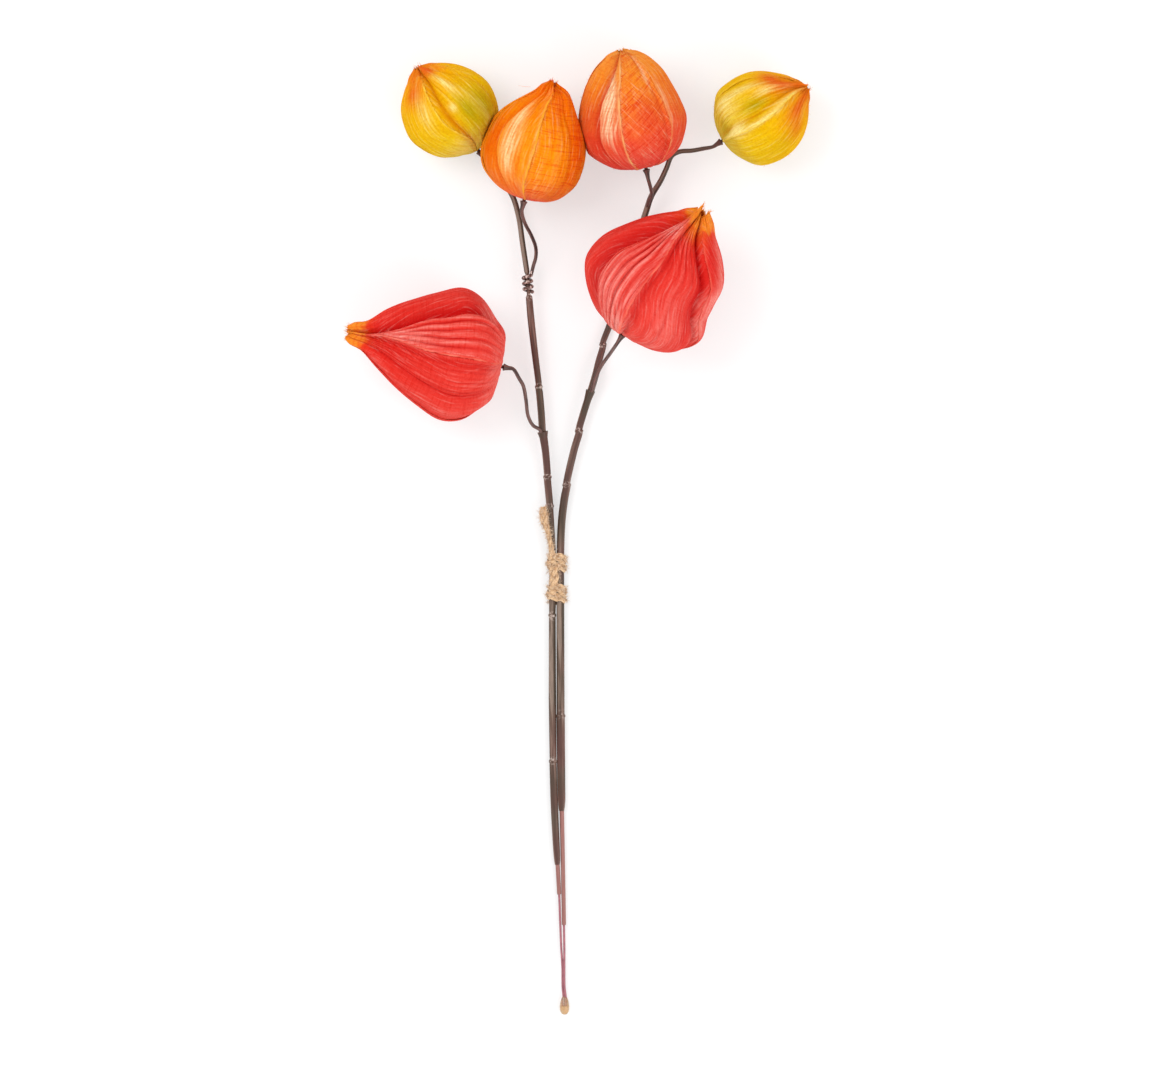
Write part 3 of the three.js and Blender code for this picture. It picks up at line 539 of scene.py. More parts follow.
RAW_WIDTH = 1.2                         # of the pale line along a raw edge
RAW_SOLID = 0.3
TIP_WAVES = (1.6, 1.2)                  # of a petal's cut end, broad and fine
FAR = 90                                # degrees from a raw edge, where a side has none
HOLE_RADIUS = 1.7
TABLE_GAP = 0.05
COLUMNS = 90
ROWS = 72
LINE_BASE = 0.2                         # where a line has the angles of its base, middle and tip
LINE_MIDDLE = 0.55
LINE_TIP = 0.92
MARKS = "dye", "patch", "painted_shade", "pale", "painted_fold_shading", "raw", "weft"
# patch is blots of a second dye; pale is painted highlights.
# Each pod's five seams are lines. At each, over says which petal's raw edge is on top (1: the one before
# it, -1: the one after), open how far the seam sinks, and raw how pale that raw edge is.
# folds: (line, height as a share of the radius, reach before the line and after it in degrees)
# pleats: (from line, to line, how many, height in millimetres)
# dents: (share of the length, angle, reach along, reach round, height as a share of the radius)
# patch, painted shade and pale: the same, with a strength in place of the height
# For each petal, tips is how far its cut end stands past the mouth in millimetres, bias the turn of its
# weave, and weft how strongly its cross threads show. pinch is how far the mouth is drawn together.
PODS = {
    "red_left": dict(
        slot="red_fabric", radius=35.2, pinch=0,
        outline=[(0.02, 0.44, 0.04), (0.08, 0.69, 0.01), (0.2, 0.92, 0.04), (0.33, 0.99, 0.06),
                 (0.5, 0.85, 0.07), (0.65, 0.67, 0.08), (0.8, 0.43, 0.09), (0.92, 0.21, 0.07),
                 (0.97, 0.17, 0.07), (1, 0.11, 0.07)],
        seams=[(-86, -84, -80), (0, -4, 3), (47, 28, 2), (126, 122, 112), (206, 206, 202)],
        over=(1, -1, 1, 1, 1), open=(0.2, 1, 0.5, 1, 1), raw=(0.3, 1, 0.2, 0.3, 0.3),
        folds=[((58, 39, 14), -0.15, 5, 22), ((-5, -9, -2), -0.07, 16, 2.5),
               ((-41, -42, -36), -0.07, 7, 9), ((-62, -60, -55), 0.03, 12, 8)],
        pleats=[((0, -4, 3), (53, 34, 8), 5, 1.15), ((-41, -42, -36), (-3, -7, -2), 7, 0.6),
                ((66, 52, 30), (88, 84, 78), 3, 0.3)],
        dents=[(0.12, -92, 0.05, 20, -0.04), (0.12, 88, 0.06, 25, 0.03), (0.62, 85, 0.15, 25, -0.03),
               (0.45, 62, 0.2, 14, 0.03), (0.16, -88, 0.03, 24, 0.03), (0.24, -88, 0.05, 24, -0.035)],
        patch=[(1, 0, 0.035, 180, 1)],
        painted_shade=[(0.84, 26, 0.14, 16, 0.5), (0.82, -20, 0.12, 16, 0.35)],
        pale=[(0.72, 8, 0.14, 9, 0.7), (0.28, 76, 0.08, 18, 0.5), (0.12, -30, 0.1, 60, 0.3)],
        tips=(3, 1, 2.5, 2, 2), bias=[0] * 5, weft=[0.5] * 5,
    ),
    "red_right": dict(
        slot="red_fabric", radius=37, pinch=0.3,
        outline=[(0.02, 0.42, 0.03), (0.08, 0.7, 0.07), (0.2, 0.92, 0.03), (0.32, 0.99, -0.03),
                 (0.5, 0.92, -0.06), (0.65, 0.82, 0.01), (0.8, 0.61, 0.03), (0.92, 0.35, 0.03),
                 (1, 0.12, 0.02)],
        seams=[(-47, -45, -32), (-17, -9, -20), (104, 66, 32), (160, 148, 130), (226, 224, 220)],
        over=(-1, 1, -1, 1, 1), open=(0.5, 0.4, 0.5, 1, 1), raw=(0.4, 1, 0.6, 0.3, 0.3),
        folds=[((-51, -49, -36), -0.15, 18, 3), ((-7, 1, -10), -0.07, 3, 8), ((-13, -6, -17), 0.05, 5, 4),
               ((98, 60, 26), -0.15, 18, 4), ((-72, -70, -66), 0.03, 9, 9)],
        pleats=[((-45, -43, -30), (-14, -6, -16), 5, 1.5), ((-3, 6, -6), (60, 48, 14), 4, 0.6),
                ((-80, -78, -74), (-60, -56, -48), 2, 0.4)],
        dents=[(0.47, 84, 0.05, 22, -0.06), (0.2, 92, 0.1, 22, 0.03)],
        patch=[(1, 0, 0.035, 180, 1), (0.92, 10, 0.06, 22, 0.6)],
        painted_shade=[(0.55, 50, 0.3, 8, 0.6), (0.55, -4, 0.22, 5, 0.5), (0.6, -56, 0.3, 8, 0.5)],
        pale=[(0.84, -25, 0.07, 10, 0.6), (0.25, -16, 0.06, 8, 0.8), (0.6, 78, 0.3, 12, 0.8),
              (0.3, -30, 0.25, 20, 0.5), (0.14, -20, 0.03, 20, 0.9), (0.35, 30, 0.2, 14, 0.3)],
        tips=(5, 3, 4, 3, 3), bias=(0, 0, 0, 0, 0.2), weft=[0.2] * 5,
    ),
    "orange": dict(
        slot="orange_fabric", radius=27.2, pinch=0.5,
        outline=[(0.02, 0.38, 0.06), (0.08, 0.65, 0.04), (0.2, 0.9, 0), (0.35, 0.99, -0.02),
                 (0.5, 0.96, -0.02), (0.65, 0.85, -0.01), (0.8, 0.63, 0.04), (0.92, 0.38, 0.11),
                 (1, 0.14, 0.06)],
        seams=[(-84, -84, -84), (-11, -4, -6), (84, 84, 84), (152, 152, 152), (216, 216, 216)],
        over=[1] * 5, open=(0.3, 0.3, 0.3, 1, 1), raw=(0.6, 1, 0.8, 0.3, 0.3),
        folds=[((-38, -50, -36), -0.08, 15, 3), ((-17, -14, -20), -0.025, 5, 4),
               ((-6, 0, -1), 0.05, 4, 4), ((54, 50, 34), -0.04, 10, 6)],
        pleats=[((-36, -47, -34), (-20, -18, -22), 3, 0.4), ((-20, -18, -22), (-9, -3, -5), 2, 0.25),
                ((2, 8, 4), (52, 48, 30), 3, 0.3)],
        dents=[(0.85, -85, 0.08, 25, -0.03)],
        # Its two broad patches at the sides are partly a deeper dye and partly painted shade.
        patch=[(0.6, 62, 0.3, 18, 1), (0.5, -62, 0.25, 12, 0.8), (0.76, 24, 0.14, 14, 0.6)],
        painted_shade=[(0.7, 48, 0.2, 6, 0.3)],
        pale=[(0.67, -31, 0.1, 8, 1), (0.52, -29, 0.1, 9, 1), (0.4, -28, 0.08, 8, 0.6)],
        tips=(2.5, -1, 1, 1, 1), bias=[0] * 5, weft=(0.15, 0.8, 0.3, 0.3, 0.3),
    ),
    "coral": dict(
        slot="coral_fabric", radius=28.6, pinch=0.5,
        outline=[(0.02, 0.4, -0.06), (0.08, 0.62, -0.08), (0.2, 0.87, -0.1), (0.35, 1, -0.1),
                 (0.5, 0.95, -0.09), (0.65, 0.84, -0.08), (0.8, 0.68, -0.05), (0.92, 0.47, -0.03),
                 (0.98, 0.28, -0.02), (1, 0.12, -0.02)],
        seams=[(-100, -98, -96), (-18, -17, -11), (47, 43, 36), (128, 126, 124), (205, 205, 205)],
        over=(1, 1, -1, 1, 1), open=(0.4, 0.5, 0.2, 1, 1), raw=(0.4, 1, 0.5, 0.3, 0.3),
        folds=[((-43, -42, -18), -0.12, 16, 3), ((-13, -12, -6), 0.04, 4, 4), ((42, 38, 30), -0.04, 8, 3)],
        pleats=[((-41, -40, -16), (-16, -15, -9), 4, 0.5), ((52, 50, 46), (88, 86, 84), 3, 0.25)],
        dents=[(0.25, 90, 0.1, 20, 0.04)],
        patch=[(0.5, 20, 0.14, 14, 0.4), (0.35, 62, 0.1, 16, 0.4)],
        painted_shade=[(0.4, -58, 0.2, 12, 0.3)],
        pale=[(0.74, -22, 0.08, 6, 1.0), (0.6, -25, 0.12, 9, 1.0), (0.46, -28, 0.06, 8, 0.5),
              (0.82, 32, 0.12, 3, 0.6), (0.58, 46, 0.14, 3, 0.4)],
        tips=[0.3] * 5, bias=(0.2, -0.6, 0.2, 0, 0), weft=(0.3, 0.9, 0.3, 0.3, 0.3),
    ),
    "yellow_left": dict(
        slot="yellow_fabric", radius=24.9, pinch=0.5,
        outline=[(0.02, 0.3, 0), (0.08, 0.53, 0.04), (0.2, 0.8, 0.03), (0.45, 0.99, 0),
                 (0.65, 0.92, -0.01), (0.8, 0.74, -0.02), (0.92, 0.48, -0.01), (1, 0.15, 0)],
        seams=[(-88, -88, -88), (-9, -22, -18), (56, 56, 56), (132, 132, 132), (216, 216, 216)],
        over=[1] * 5, open=(0.3, 0.8, 0.3, 1, 1), raw=(0.4, 0.9, 0.3, 0.2, 0.3),
        folds=[((-1, -6, 2), -0.13, 11, 7), ((42, 30, 12), 0.05, 6, 9), ((70, 62, 40), -0.04, 8, 6)],
        pleats=[((8, 2, 4), (40, 30, 12), 3, 0.4), ((-70, -66, -60), (-20, -28, -26), 5, 0.25)],
        dents=[(0.1, -70, 0.06, 40, -0.05)],
        patch=[(0.83, -42, 0.1, 24, 0.9), (0.94, 24, 0.07, 18, 1), (0.5, -4, 0.2, 6, 0.25)],
        painted_shade=[(0.45, 40, 0.16, 24, 0.7), (0.5, 18, 0.12, 8, 0.5), (0.3, 8, 0.1, 20, 0.3)],
        pale=[(0.57, 6, 0.03, 4, 1), (0.75, 21, 0.11, 4, 0.9), (0.66, -32, 0.12, 8, 0.6),
              (0.2, -30, 0.1, 40, 0.4)],
        tips=(1.5, 2, 1.5, 1.5, 1.5), bias=[0] * 5, weft=[0.1] * 5,
    ),
    "yellow_right": dict(
        slot="yellow_fabric", radius=24.5, pinch=0.5,
        outline=[(0.02, 0.32, 0), (0.08, 0.59, -0.02), (0.2, 0.88, -0.02), (0.38, 0.98, 0),
                 (0.55, 0.96, 0.01), (0.7, 0.84, 0.01), (0.82, 0.65, 0.01), (0.93, 0.39, -0.01),
                 (1, 0.12, 0)],
        seams=[(-67, -67, -67), (0, 2, -9), (77, 77, 77), (146, 146, 146), (214, 214, 214)],
        over=[1] * 5, open=(0.3, 0.3, 0.3, 1, 1), raw=(0.2, 1, 0.2, 0.3, 0.3),
        folds=[((2, 5, -6), 0.08, 4, 4), ((-6, -4, -15), -0.06, 9, 3), ((-46, -40, -32), 0.04, 4, 9)],
        pleats=[((-34, -34, -28), (-14, -12, -22), 2, 0.4), ((8, 12, 0), (70, 66, 50), 5, 0.4)],
        dents=[(0.6, -20, 0.16, 14, -0.07)],
        patch=[(0.84, -34, 0.14, 20, 1), (0.74, -58, 0.09, 18, 0.8), (0.84, 30, 0.15, 18, 1),
               (0.72, 54, 0.1, 14, 0.5)],
        painted_shade=[(0.56, -18, 0.11, 9, 0.7), (0.6, 50, 0.15, 14, 0.25), (0.25, -10, 0.08, 18, 0.4)],
        pale=[(0.56, 5, 0.16, 3, 0.8), (0.8, -4, 0.12, 3, 0.5), (0.5, -45, 0.14, 5, 0.9),
              (0.67, -31, 0.07, 4, 0.9), (0.36, -36, 0.08, 16, 0.7), (0.36, 1, 0.07, 9, 1)],
        tips=(2, 1.5, 1.5, 1, 1), bias=[0] * 5, weft=[0.1] * 5,
    ),
}


def smooth_step(low, high, x):
    """0 at low and 1 at high, with an even start and end."""
    share = min(1, max(0, (x - low) / (high - low)))
    return share * share * (3 - 2 * share)


def line_at(line, t):
    """The angle of a line at t along the petals, through those at the base, the middle and the tip."""
    base, middle, tip = line
    to_middle = smooth_step(LINE_BASE, LINE_MIDDLE, t)
    return base + (middle - base) * to_middle + (tip - middle) * smooth_step(LINE_MIDDLE, LINE_TIP, t)


def turn_between(angle, line_angle):
    """The turn from a line to an angle, the short way round."""
    return (angle - line_angle + 180) % 360 - 180


def outline_of(pod):
    """ROWS + 1 even stops along a pod's outline, as ((radius, distance, bow), tangent), and its length."""
    base, tip = [Vector(end) for end in POD_ENDS[pod]]
    length = (tip - base).length
    radius = PODS[pod]["radius"]
    corners = [Vector((HOLE_RADIUS, 0, 0))]
    corners += [Vector((w * radius, share * length, bow * radius)) for share, w, bow in PODS[pod]["outline"]]
    fine = smooth_curve(corners, per_gap=40)
    runs = [0]
    for before, after in zip(fine, fine[1:]):
        runs.append(runs[-1] + (after - before).length)
    rows = []
    at = 0
    for row in range(ROWS + 1):
        target = runs[-1] * row / ROWS
        while at < len(fine) - 2 and runs[at + 1] < target:
            at += 1
        share = (target - runs[at]) / (runs[at + 1] - runs[at])
        rows.append((fine[at].lerp(fine[at + 1], share), (fine[at + 1] - fine[at]).normalized()))
    return rows, runs[-1]


# Where one pod leans on another, both are flattened against a plane between them.
LEAN_DENT = 0.8
LEAN_GAP = 0.35
WIDEST = 0.4                            # of the way along a pod
leans = {pod: [] for pod in PODS}
for firm, soft in (("orange", "yellow_left"), ("orange", "coral")):
    middles = []
    for pod in (firm, soft):
        base, axis = directions_of(pod)[:2]
        pod_length = (Vector(POD_ENDS[pod][1]) - base).length
        middles.append(base + axis * pod_length * WIDEST)
    towards = (middles[1] - middles[0]).normalized()
    contact = middles[0] + towards * (PODS[firm]["radius"] - LEAN_DENT)
    leans[firm].append((contact - towards * LEAN_GAP / 2, towards))
    leans[soft].append((contact + towards * LEAN_GAP / 2, -towards))


def sum_of_spots(spots, angle, t):
    """How much soft spots add up to at a place."""
    total = 0
    for spot_t, spot_angle, reach_t, reach_angle, strength in spots:
        off = turn_between(angle, spot_angle) / reach_angle
        total += strength * math.exp(-((t - spot_t) / reach_t) ** 2 - off ** 2)
    return total


def relief_of(pod, angle, t, seed):
    """How far the cloth stands proud of the outline, in millimetres, and its painted shading: painted shade
    as deep as it lies in a crease, or painted highlight on a crest where that is negative. Folds and pleats
    begin a little way from the base, and the pleats wander and are uneven."""
    shape = PODS[pod]
    fade = smooth_step(0.03, 0.25, t)
    rise = 0
    painted_fold_shading = 0
    for line, height, before, after in shape["folds"]:
        off = turn_between(angle, line_at(line, t))
        near = math.exp(-abs(off / (before if off < 0 else after)) ** 1.15)
        rise += fade * height * shape["radius"] * near
        painted_fold_shading -= fade * height * FOLD_SHADING * near ** 2
    for low_line, high_line, count, height in shape["pleats"]:
        low, high = line_at(low_line, t), line_at(high_line, t)
        across = (angle - low) / (high - low)
        if 0 < across < 1:
            wander = 0.3 * noise.noise(Vector((across * count * 0.7, t * 2.5, seed + 4)))
            uneven = 0.8 + 1.2 * noise.noise(Vector((across * count * 0.8, t * 3, seed)))
            wave = abs(math.sin(math.pi * (count * across + wander))) - 0.6
            rise += fade * height * uneven * wave
            painted_fold_shading -= fade * height * uneven * wave
    rise += shape["radius"] * sum_of_spots(shape["dents"], angle, t)
    fine = noise.noise(Vector((angle * 0.42, t * 4, seed)))
    rise += 0.2 * fine + 0.4 * noise.noise(Vector((angle * 0.09, t * 5, seed + 9)))
    return rise, min(1, max(-1, painted_fold_shading - 0.15 * fine))


def ragged_by(t, radius, seed):
    """How far a raw edge is cut away from its line, in degrees."""
    ragged = RAGGED[0] * noise.noise(Vector((t * 60, seed, 3.1)))
    ragged += RAGGED[1] * noise.noise(Vector((t * 160, seed, 1)))
    return math.degrees(ragged / max(radius, 4))


def cut_past_mouth(across, height, seed):
    """How far a petal's cut end stands past the pod's mouth, in millimetres."""
    past = height * (1 - abs(2 * across - 1) ** 1.5)
    past += TIP_WAVES[0] * noise.noise(Vector((across * 9, seed, 0)))
    return past + TIP_WAVES[1] * noise.noise(Vector((across * 31, seed, 5)))


def petal_surface(pod, index):
    """A function from (across, row) on a petal to its place in millimetres, its angle and its width there,
    how far it is from a raw edge on each side, and its painted shading from how deep it lies in a crease;
    and its pod's outline. across runs from 0 to 1."""
    shape = PODS[pod]
    base, axis, up, right = directions_of(pod)
    rows, arc = outline_of(pod)
    seams = (index, (index + 1) % 5)
    start_line, end_line = [shape["seams"][seam] for seam in seams]
    if index == 4:
        end_line = [angle + 360 for angle in end_line]
    seed = 11.3 * index + 57.1 * list(PODS).index(pod)
    start_dip, end_dip = [SEAM_DIP * shape["open"][seam] for seam in seams]
    start_side = -shape["over"][seams[0]]   # 1 where this petal's edge is on top, -1 where it is covered
    end_side = shape["over"][seams[1]]

    def surface(across, row):
        t = row / ROWS
        (radius, distance, bow), tangent = rows[row]
        start = line_at(start_line, t)
        end = line_at(end_line, t) + LAP
        angle = start + (end - start) * across
        ragged = ragged_by(t, radius, seed)
        if start_side > 0:
            angle -= ragged * (1 - across) ** 20
        if end_side > 0:
            angle += ragged * across ** 20
        lift = start_side * CLEAR / 2 * smooth_step(start + LAP + LAP_FADE, start + LAP, angle)
        lift += end_side * CLEAR / 2 * smooth_step(end - LAP - LAP_FADE, end - LAP, angle)
        from_start = angle - start if start_side > 0 else FAR
        from_end = end - angle if end_side > 0 else FAR
        curl = CURL * smooth_step(2.5, 0, min(from_start, from_end)) * smooth_step(0.15, 0.4, t)
        rise, painted_fold_shading = relief_of(pod, angle, t, seed * 0.1)
        offset = lift + curl + rise
        dip = start_dip * math.exp(-((angle - start - LAP / 2) / SEAM_REACH) ** 2)
        dip += end_dip * math.exp(-((angle - end + LAP / 2) / SEAM_REACH) ** 2)
        pinch = shape["pinch"] * smooth_step(0.95, 1, t)
        reach = radius * (1 - dip) * (1 - pinch) + tangent.y * offset
        run = cut_past_mouth(across, shape["tips"][index], seed) * smooth_step(0.9, 1, t)
        distance += run - tangent.x * offset
        turn = math.radians(angle)
        at = base + axis * distance + up * (reach * math.cos(turn)) + right * (reach * math.sin(turn) + bow)
        for through, outwards in leans[pod]:
            past = (at - through).dot(outwards) + CLOTH / 2
            if past > 0:
                at -= outwards * past
        at.z = max(at.z, CLOTH / 2 + TABLE_GAP + CLEAR / 4 + lift / 2)
        width = math.radians(end - start) * radius
        inwards = [math.radians(part) * max(radius, 1) for part in (from_start, from_end)]
        return at, angle, width, inwards, painted_fold_shading

    return surface, rows, arc


def petal(pod, index):
    """One petal, as a grid bent to its surface, with the width, length and area it was cut to."""
    shape = PODS[pod]
    surface, rows, arc = petal_surface(pod, index)
    base, axis = directions_of(pod)[:2]
    bm = bmesh.new()
    bmesh.ops.create_grid(bm, x_segments=COLUMNS, y_segments=ROWS, size=0.5)
    layers = {name: bm.verts.layers.float.new(name) for name in MARKS}
    bias = Matrix.Rotation(shape["bias"][index], 2)
    flat_places = []
    for vert in bm.verts:
        across = vert.co.x + 0.5
        row = round((vert.co.y + 0.5) * ROWS)
        t = row / ROWS
        at, angle, width, inwards, painted_fold_shading = surface(across, row)
        vert.co = place(*at)
        # Painted highlight on the crests of the folds and pleats, fading at the tip.
        crest_highlight = 0.6 * max(0, -painted_fold_shading) * smooth_step(0.95, 0.85, t)
        worn = 0.6 + 0.8 * noise.noise(Vector((t * 14, index, 2)))
        raw = max(
            shape["raw"][(index + side) % 5] * smooth_step(RAW_WIDTH, RAW_SOLID, inwards[side])
            for side in (0, 1)
        )
        # The marks: the dye along the length, blots of a second dye, painted shade spots, painted
        # highlights, painted shade in the creases, pale raw edges and the cross threads.
        marks = {
            "dye": t,
            "patch": min(1, sum_of_spots(shape["patch"], angle, t)),
            "painted_shade": min(1, sum_of_spots(shape["painted_shade"], angle, t)),
            "pale": min(1, sum_of_spots(shape["pale"], angle, t) + crest_highlight),
            "painted_fold_shading": max(0, painted_fold_shading),
            "raw": worn * raw * smooth_step(0.94, 0.8, t),
            "weft": shape["weft"][index],
        }
        for name, strength in marks.items():
            vert[layers[name]] = strength
        flat_places.append(bias @ Vector(((across - 0.5) * width, t * arc)) / MAP_UNIT)
    bm.verts.index_update()
    uv_layer = bm.loops.layers.uv.verify()
    for face in bm.faces:
        for loop in face.loops:
            loop[uv_layer].uv = flat_places[loop.vert.index]
    bmesh.ops.recalc_face_normals(bm, faces=bm.faces)
    bm.faces.ensure_lookup_table()
    middle = bm.faces[len(bm.faces) // 2]
    out_of_pod = middle.calc_center_median() - place(*(base + axis * rows[ROWS // 2][0].y))
    if middle.normal.dot(out_of_pod) < 0:
        bmesh.ops.reverse_faces(bm, faces=bm.faces)
    row_widths = [0] * (ROWS + 1)
    for edge in bm.edges:
        row, other_row = [round(vert[layers["dye"]] * ROWS) for vert in edge.verts]
        if row == other_row:
            row_widths[row] += edge.calc_length()
    return bm, max(row_widths), arc * MM, sum(face.calc_area() for face in bm.faces)


# Stiffened polyester cloth, dip-dyed so that its colour runs from the base to the tip, with blots of a
# second dye. Painted shade darkens spots of it and the creases, and painted highlights pale its crests and
# run along it in pale streaks. Its threads are a third of a millimetre apart, too fine to show, so the weave
# is drawn three times coarser.
COARSE_THREAD = 1.0
WAVE_STRIPE = 0.314                     # of a map's unit, the stripe of a wave texture at a scale of 1


def dyed_cloth(name, dips, patch, painted_shade, painted_fold_shading, pale, raw, yarn="#F0906A"):
    """A cloth dyed along its length by dips of (position, colour), with the colours of its marks."""
    material, tree = new_material(name)
    coords = add(tree, "TexCoord")
    uv = coords.outputs["UV"]
    along_map = add(tree, "Mapping", {"Vector": uv, "Scale": (0.9 * MAP_UNIT, 0.07 * MAP_UNIT, 1)})
    streaks = add(tree, "TexNoise", {"Vector": along_map, "Scale": 1, "Detail": 4, "Roughness": 0.65})
    across_map = add(tree, "Mapping", {"Vector": uv, "Scale": (0.06 * MAP_UNIT, 0.95 * MAP_UNIT, 1)})
    wefts = add(tree, "TexNoise", {"Vector": across_map, "Scale": 1, "Detail": 2, "Roughness": 0.7})
    blots = add(tree, "TexNoise", {"Vector": uv, "Scale": 0.09 * MAP_UNIT, "Detail": 3})
    knots = add(tree, "TexNoise", {"Vector": uv, "Scale": 0.85 * MAP_UNIT, "Detail": 2})
    dye = add(tree, "Attribute", attribute_name="dye")
    uneven = add(tree, "MapRange", {"Value": blots, "To Min": -0.14, "To Max": 0.14})
    level = add(tree, "Math", {0: dye.outputs["Fac"], 1: uneven}, operation="ADD")
    skin = add(tree, "ValToRGB", {"Fac": level}, dips)
    streaky = add(tree, "MapRange", {
        "Value": streaks, "From Min": 0.32, "From Max": 0.62, "To Min": 0.15, "To Max": 1.25,
    })
    # Spots of painted shade, blots of a second dye, painted shade in the creases, and pale spots of painted
    # highlight.
    marks = ("painted_shade", painted_shade, 0.9), ("patch", patch, 0.9), ("painted_fold_shading", painted_fold_shading, 0.9), ("pale", pale, streaky)
    for attribute, colour, share in marks:
        mark = add(tree, "Attribute", attribute_name=attribute)
        amount = add(tree, "Math", {0: mark.outputs["Fac"], 1: share}, operation="MULTIPLY", use_clamp=True)
        skin = add(tree, "Mix", {"Factor": amount, "A": skin, "B": linear(colour)}, data_type="RGBA")
    weft = add(tree, "Attribute", attribute_name="weft")
    warp = add(tree, "MapRange", {"Value": weft, "To Min": 0.45, "To Max": 0.1})
    for threads, low, high, depth in (
        (streaks, 0.3, 0.52, warp), (wefts, 0.32, 0.52, weft), (knots, 0.32, 0.56, 0.3),
    ):
        lines = add(tree, "MapRange", {
            "Value": threads, "From Min": low, "From Max": high, "To Min": depth, "To Max": 0,
        })
        skin = add(tree, "Mix", {
            "Factor": lines, "A": skin, "B": linear(yarn),
        }, data_type="RGBA", blend_type="MULTIPLY")
    # Pale streaks of painted highlight, a painted sheen along the threads.
    highlight_streak = add(tree, "MapRange", {
        "Value": streaks, "From Min": 0.54, "From Max": 0.7, "To Min": 0, "To Max": 0.28,
    })
    highlighted = add(tree, "Mix", {"Factor": highlight_streak, "A": skin, "B": linear(pale)}, data_type="RGBA")
    edge = add(tree, "Attribute", attribute_name="raw")
    skin = add(tree, "Mix", {
        "Factor": edge.outputs["Fac"], "A": highlighted, "B": linear(raw),
    }, data_type="RGBA")
    threads_scale = WAVE_STRIPE / COARSE_THREAD * MAP_UNIT
    weave = [
        add(tree, "TexWave", {"Vector": uv, "Scale": threads_scale, "Distortion": 0.6},
            bands_direction=direction)
        for direction in ("X", "Y")
    ]
    woven = add(tree, "Math", {i: wave.outputs["Fac"] for i, wave in enumerate(weave)}, operation="ADD")
    weave_bump = add(tree, "Bump", {"Height": woven, "Strength": 0.3, "Distance": 0.08 * MM})
    streak_bump = add(tree, "Bump", {
        "Height": streaks, "Strength": 0.9, "Distance": 0.6 * MM, "Normal": weave_bump,
    })
    cloth = add(tree, "BsdfPrincipled", {
        "Base Color": skin,
        "Normal": streak_bump,
        "Roughness": 0.7,
        "Specular IOR Level": 0.04,
        "Sheen Weight": 0.35,
        "Sheen Tint": skin,
    })
    through = add(tree, "BsdfTranslucent", {"Color": skin, "Normal": streak_bump})
    both = add(tree, "MixShader", {"Fac": 0.25, 1: cloth, 2: through})
    add(tree, "OutputMaterial", {"Surface": both})
    return material


cloths = {
    "red_fabric": dyed_cloth(
        "red_dyed_cloth",
        [(0.1, "#F4685E"), (0.28, "#EE4A40"), (0.84, "#EA352B"), (0.93, "#EE4626"), (0.98, "#FA9A30")],
        patch="#FDA632", painted_shade="#D81719", painted_fold_shading="#D00A0E", pale="#FCA79C", raw="#FB7C66"),
    "orange_fabric": dyed_cloth(
        "orange_dyed_cloth",
        [(0.06, "#F87058"), (0.18, "#FA8A3C"), (0.4, "#FD9E10"), (0.7, "#FDA004"), (0.95, "#FA7E04")],
        patch="#F06004", painted_shade="#EA5A08", painted_fold_shading="#EE5600", pale="#FCDC9C", raw="#FDB828"),
    "coral_fabric": dyed_cloth(
        "coral_dyed_cloth",
        [(0.12, "#F25C50"), (0.36, "#F25C3C"), (0.58, "#F47E2C"), (0.8, "#F8982A"), (0.97, "#FBAA48")],
        patch="#E24A2C", painted_shade="#DE3E26", painted_fold_shading="#DE3C22", pale="#FDE6BA", raw="#FBC078"),
    "yellow_fabric": dyed_cloth(
        "yellow_dyed_cloth",
        [(0.12, "#E4D850"), (0.34, "#EECC14"), (0.6, "#F5C400"), (0.82, "#F9BA04"), (0.97, "#F69220")],
        patch="#EE5C18", painted_shade="#A89A00", painted_fold_shading="#E09000", pale="#FCEC94", raw="#FDDC54",
        yarn="#E2B878"),
}

for pod, shape in PODS.items():
    for index in range(5):
        bm, width, length, area = petal(pod, index)
        node = f"{pod}_petal_{index + 1}"
        piece = finish_piece(f"{pod}_cloth_{index + 1}", bm, cloths[shape["slot"]], shape["slot"], node)
        thicken = piece.modifiers.new("cloth", "SOLIDIFY")
        thicken.thickness = CLOTH * MM
        thicken.offset = 0

# ---- Frayed threads ---------------------------------------------------------------------------------
# Threads have come loose along the raw edges and at the cut points of the petals. They are of the same
# cloth. A real one is a twentieth of a millimetre thick; these are three times that, so that they show.
THREAD_RADIUS = 0.08
THREAD_BEND = 0.35
EDGE_THREADS = 46                       # along each raw edge


def merge(bm, part):
    """Adds a finished part to a bmesh."""
    mesh = bpy.data.meshes.new("part")
    part.to_mesh(mesh)
    part.free()
    bm.from_mesh(mesh)
    bpy.data.meshes.remove(mesh)


def loose_thread(bm, start, heading, length, radius, rng, at_tip=0):
    """Adds a thin tapering thread from a place in millimetres, bent a little at its middle."""
    part = bmesh.new()
    dipped = part.verts.layers.float.new("dipped")
    bend = heading + Vector([rng.uniform(-THREAD_BEND, THREAD_BEND) for _ in range(3)])
    joint = start
    for share, direction, thick, thin in ((0.5, heading, 1, 0.8), (0.5, bend, 0.8, 0.3)):
        direction = direction.normalized()
        reach = length * share
        middle = joint + direction * reach / 2
        turned = direction.to_track_quat("Z", "Y").to_matrix().to_4x4()
        bmesh.ops.create_cone(
            part, cap_ends=True, segments=3, radius1=radius * thick * MM, radius2=radius * thin * MM,
            depth=reach * MM, matrix=Matrix.Translation(place(*middle)) @ turned,
        )
        joint = joint + direction * reach * 0.98
    for vert in part.verts:
        vert[dipped] = at_tip
    merge(bm, part)


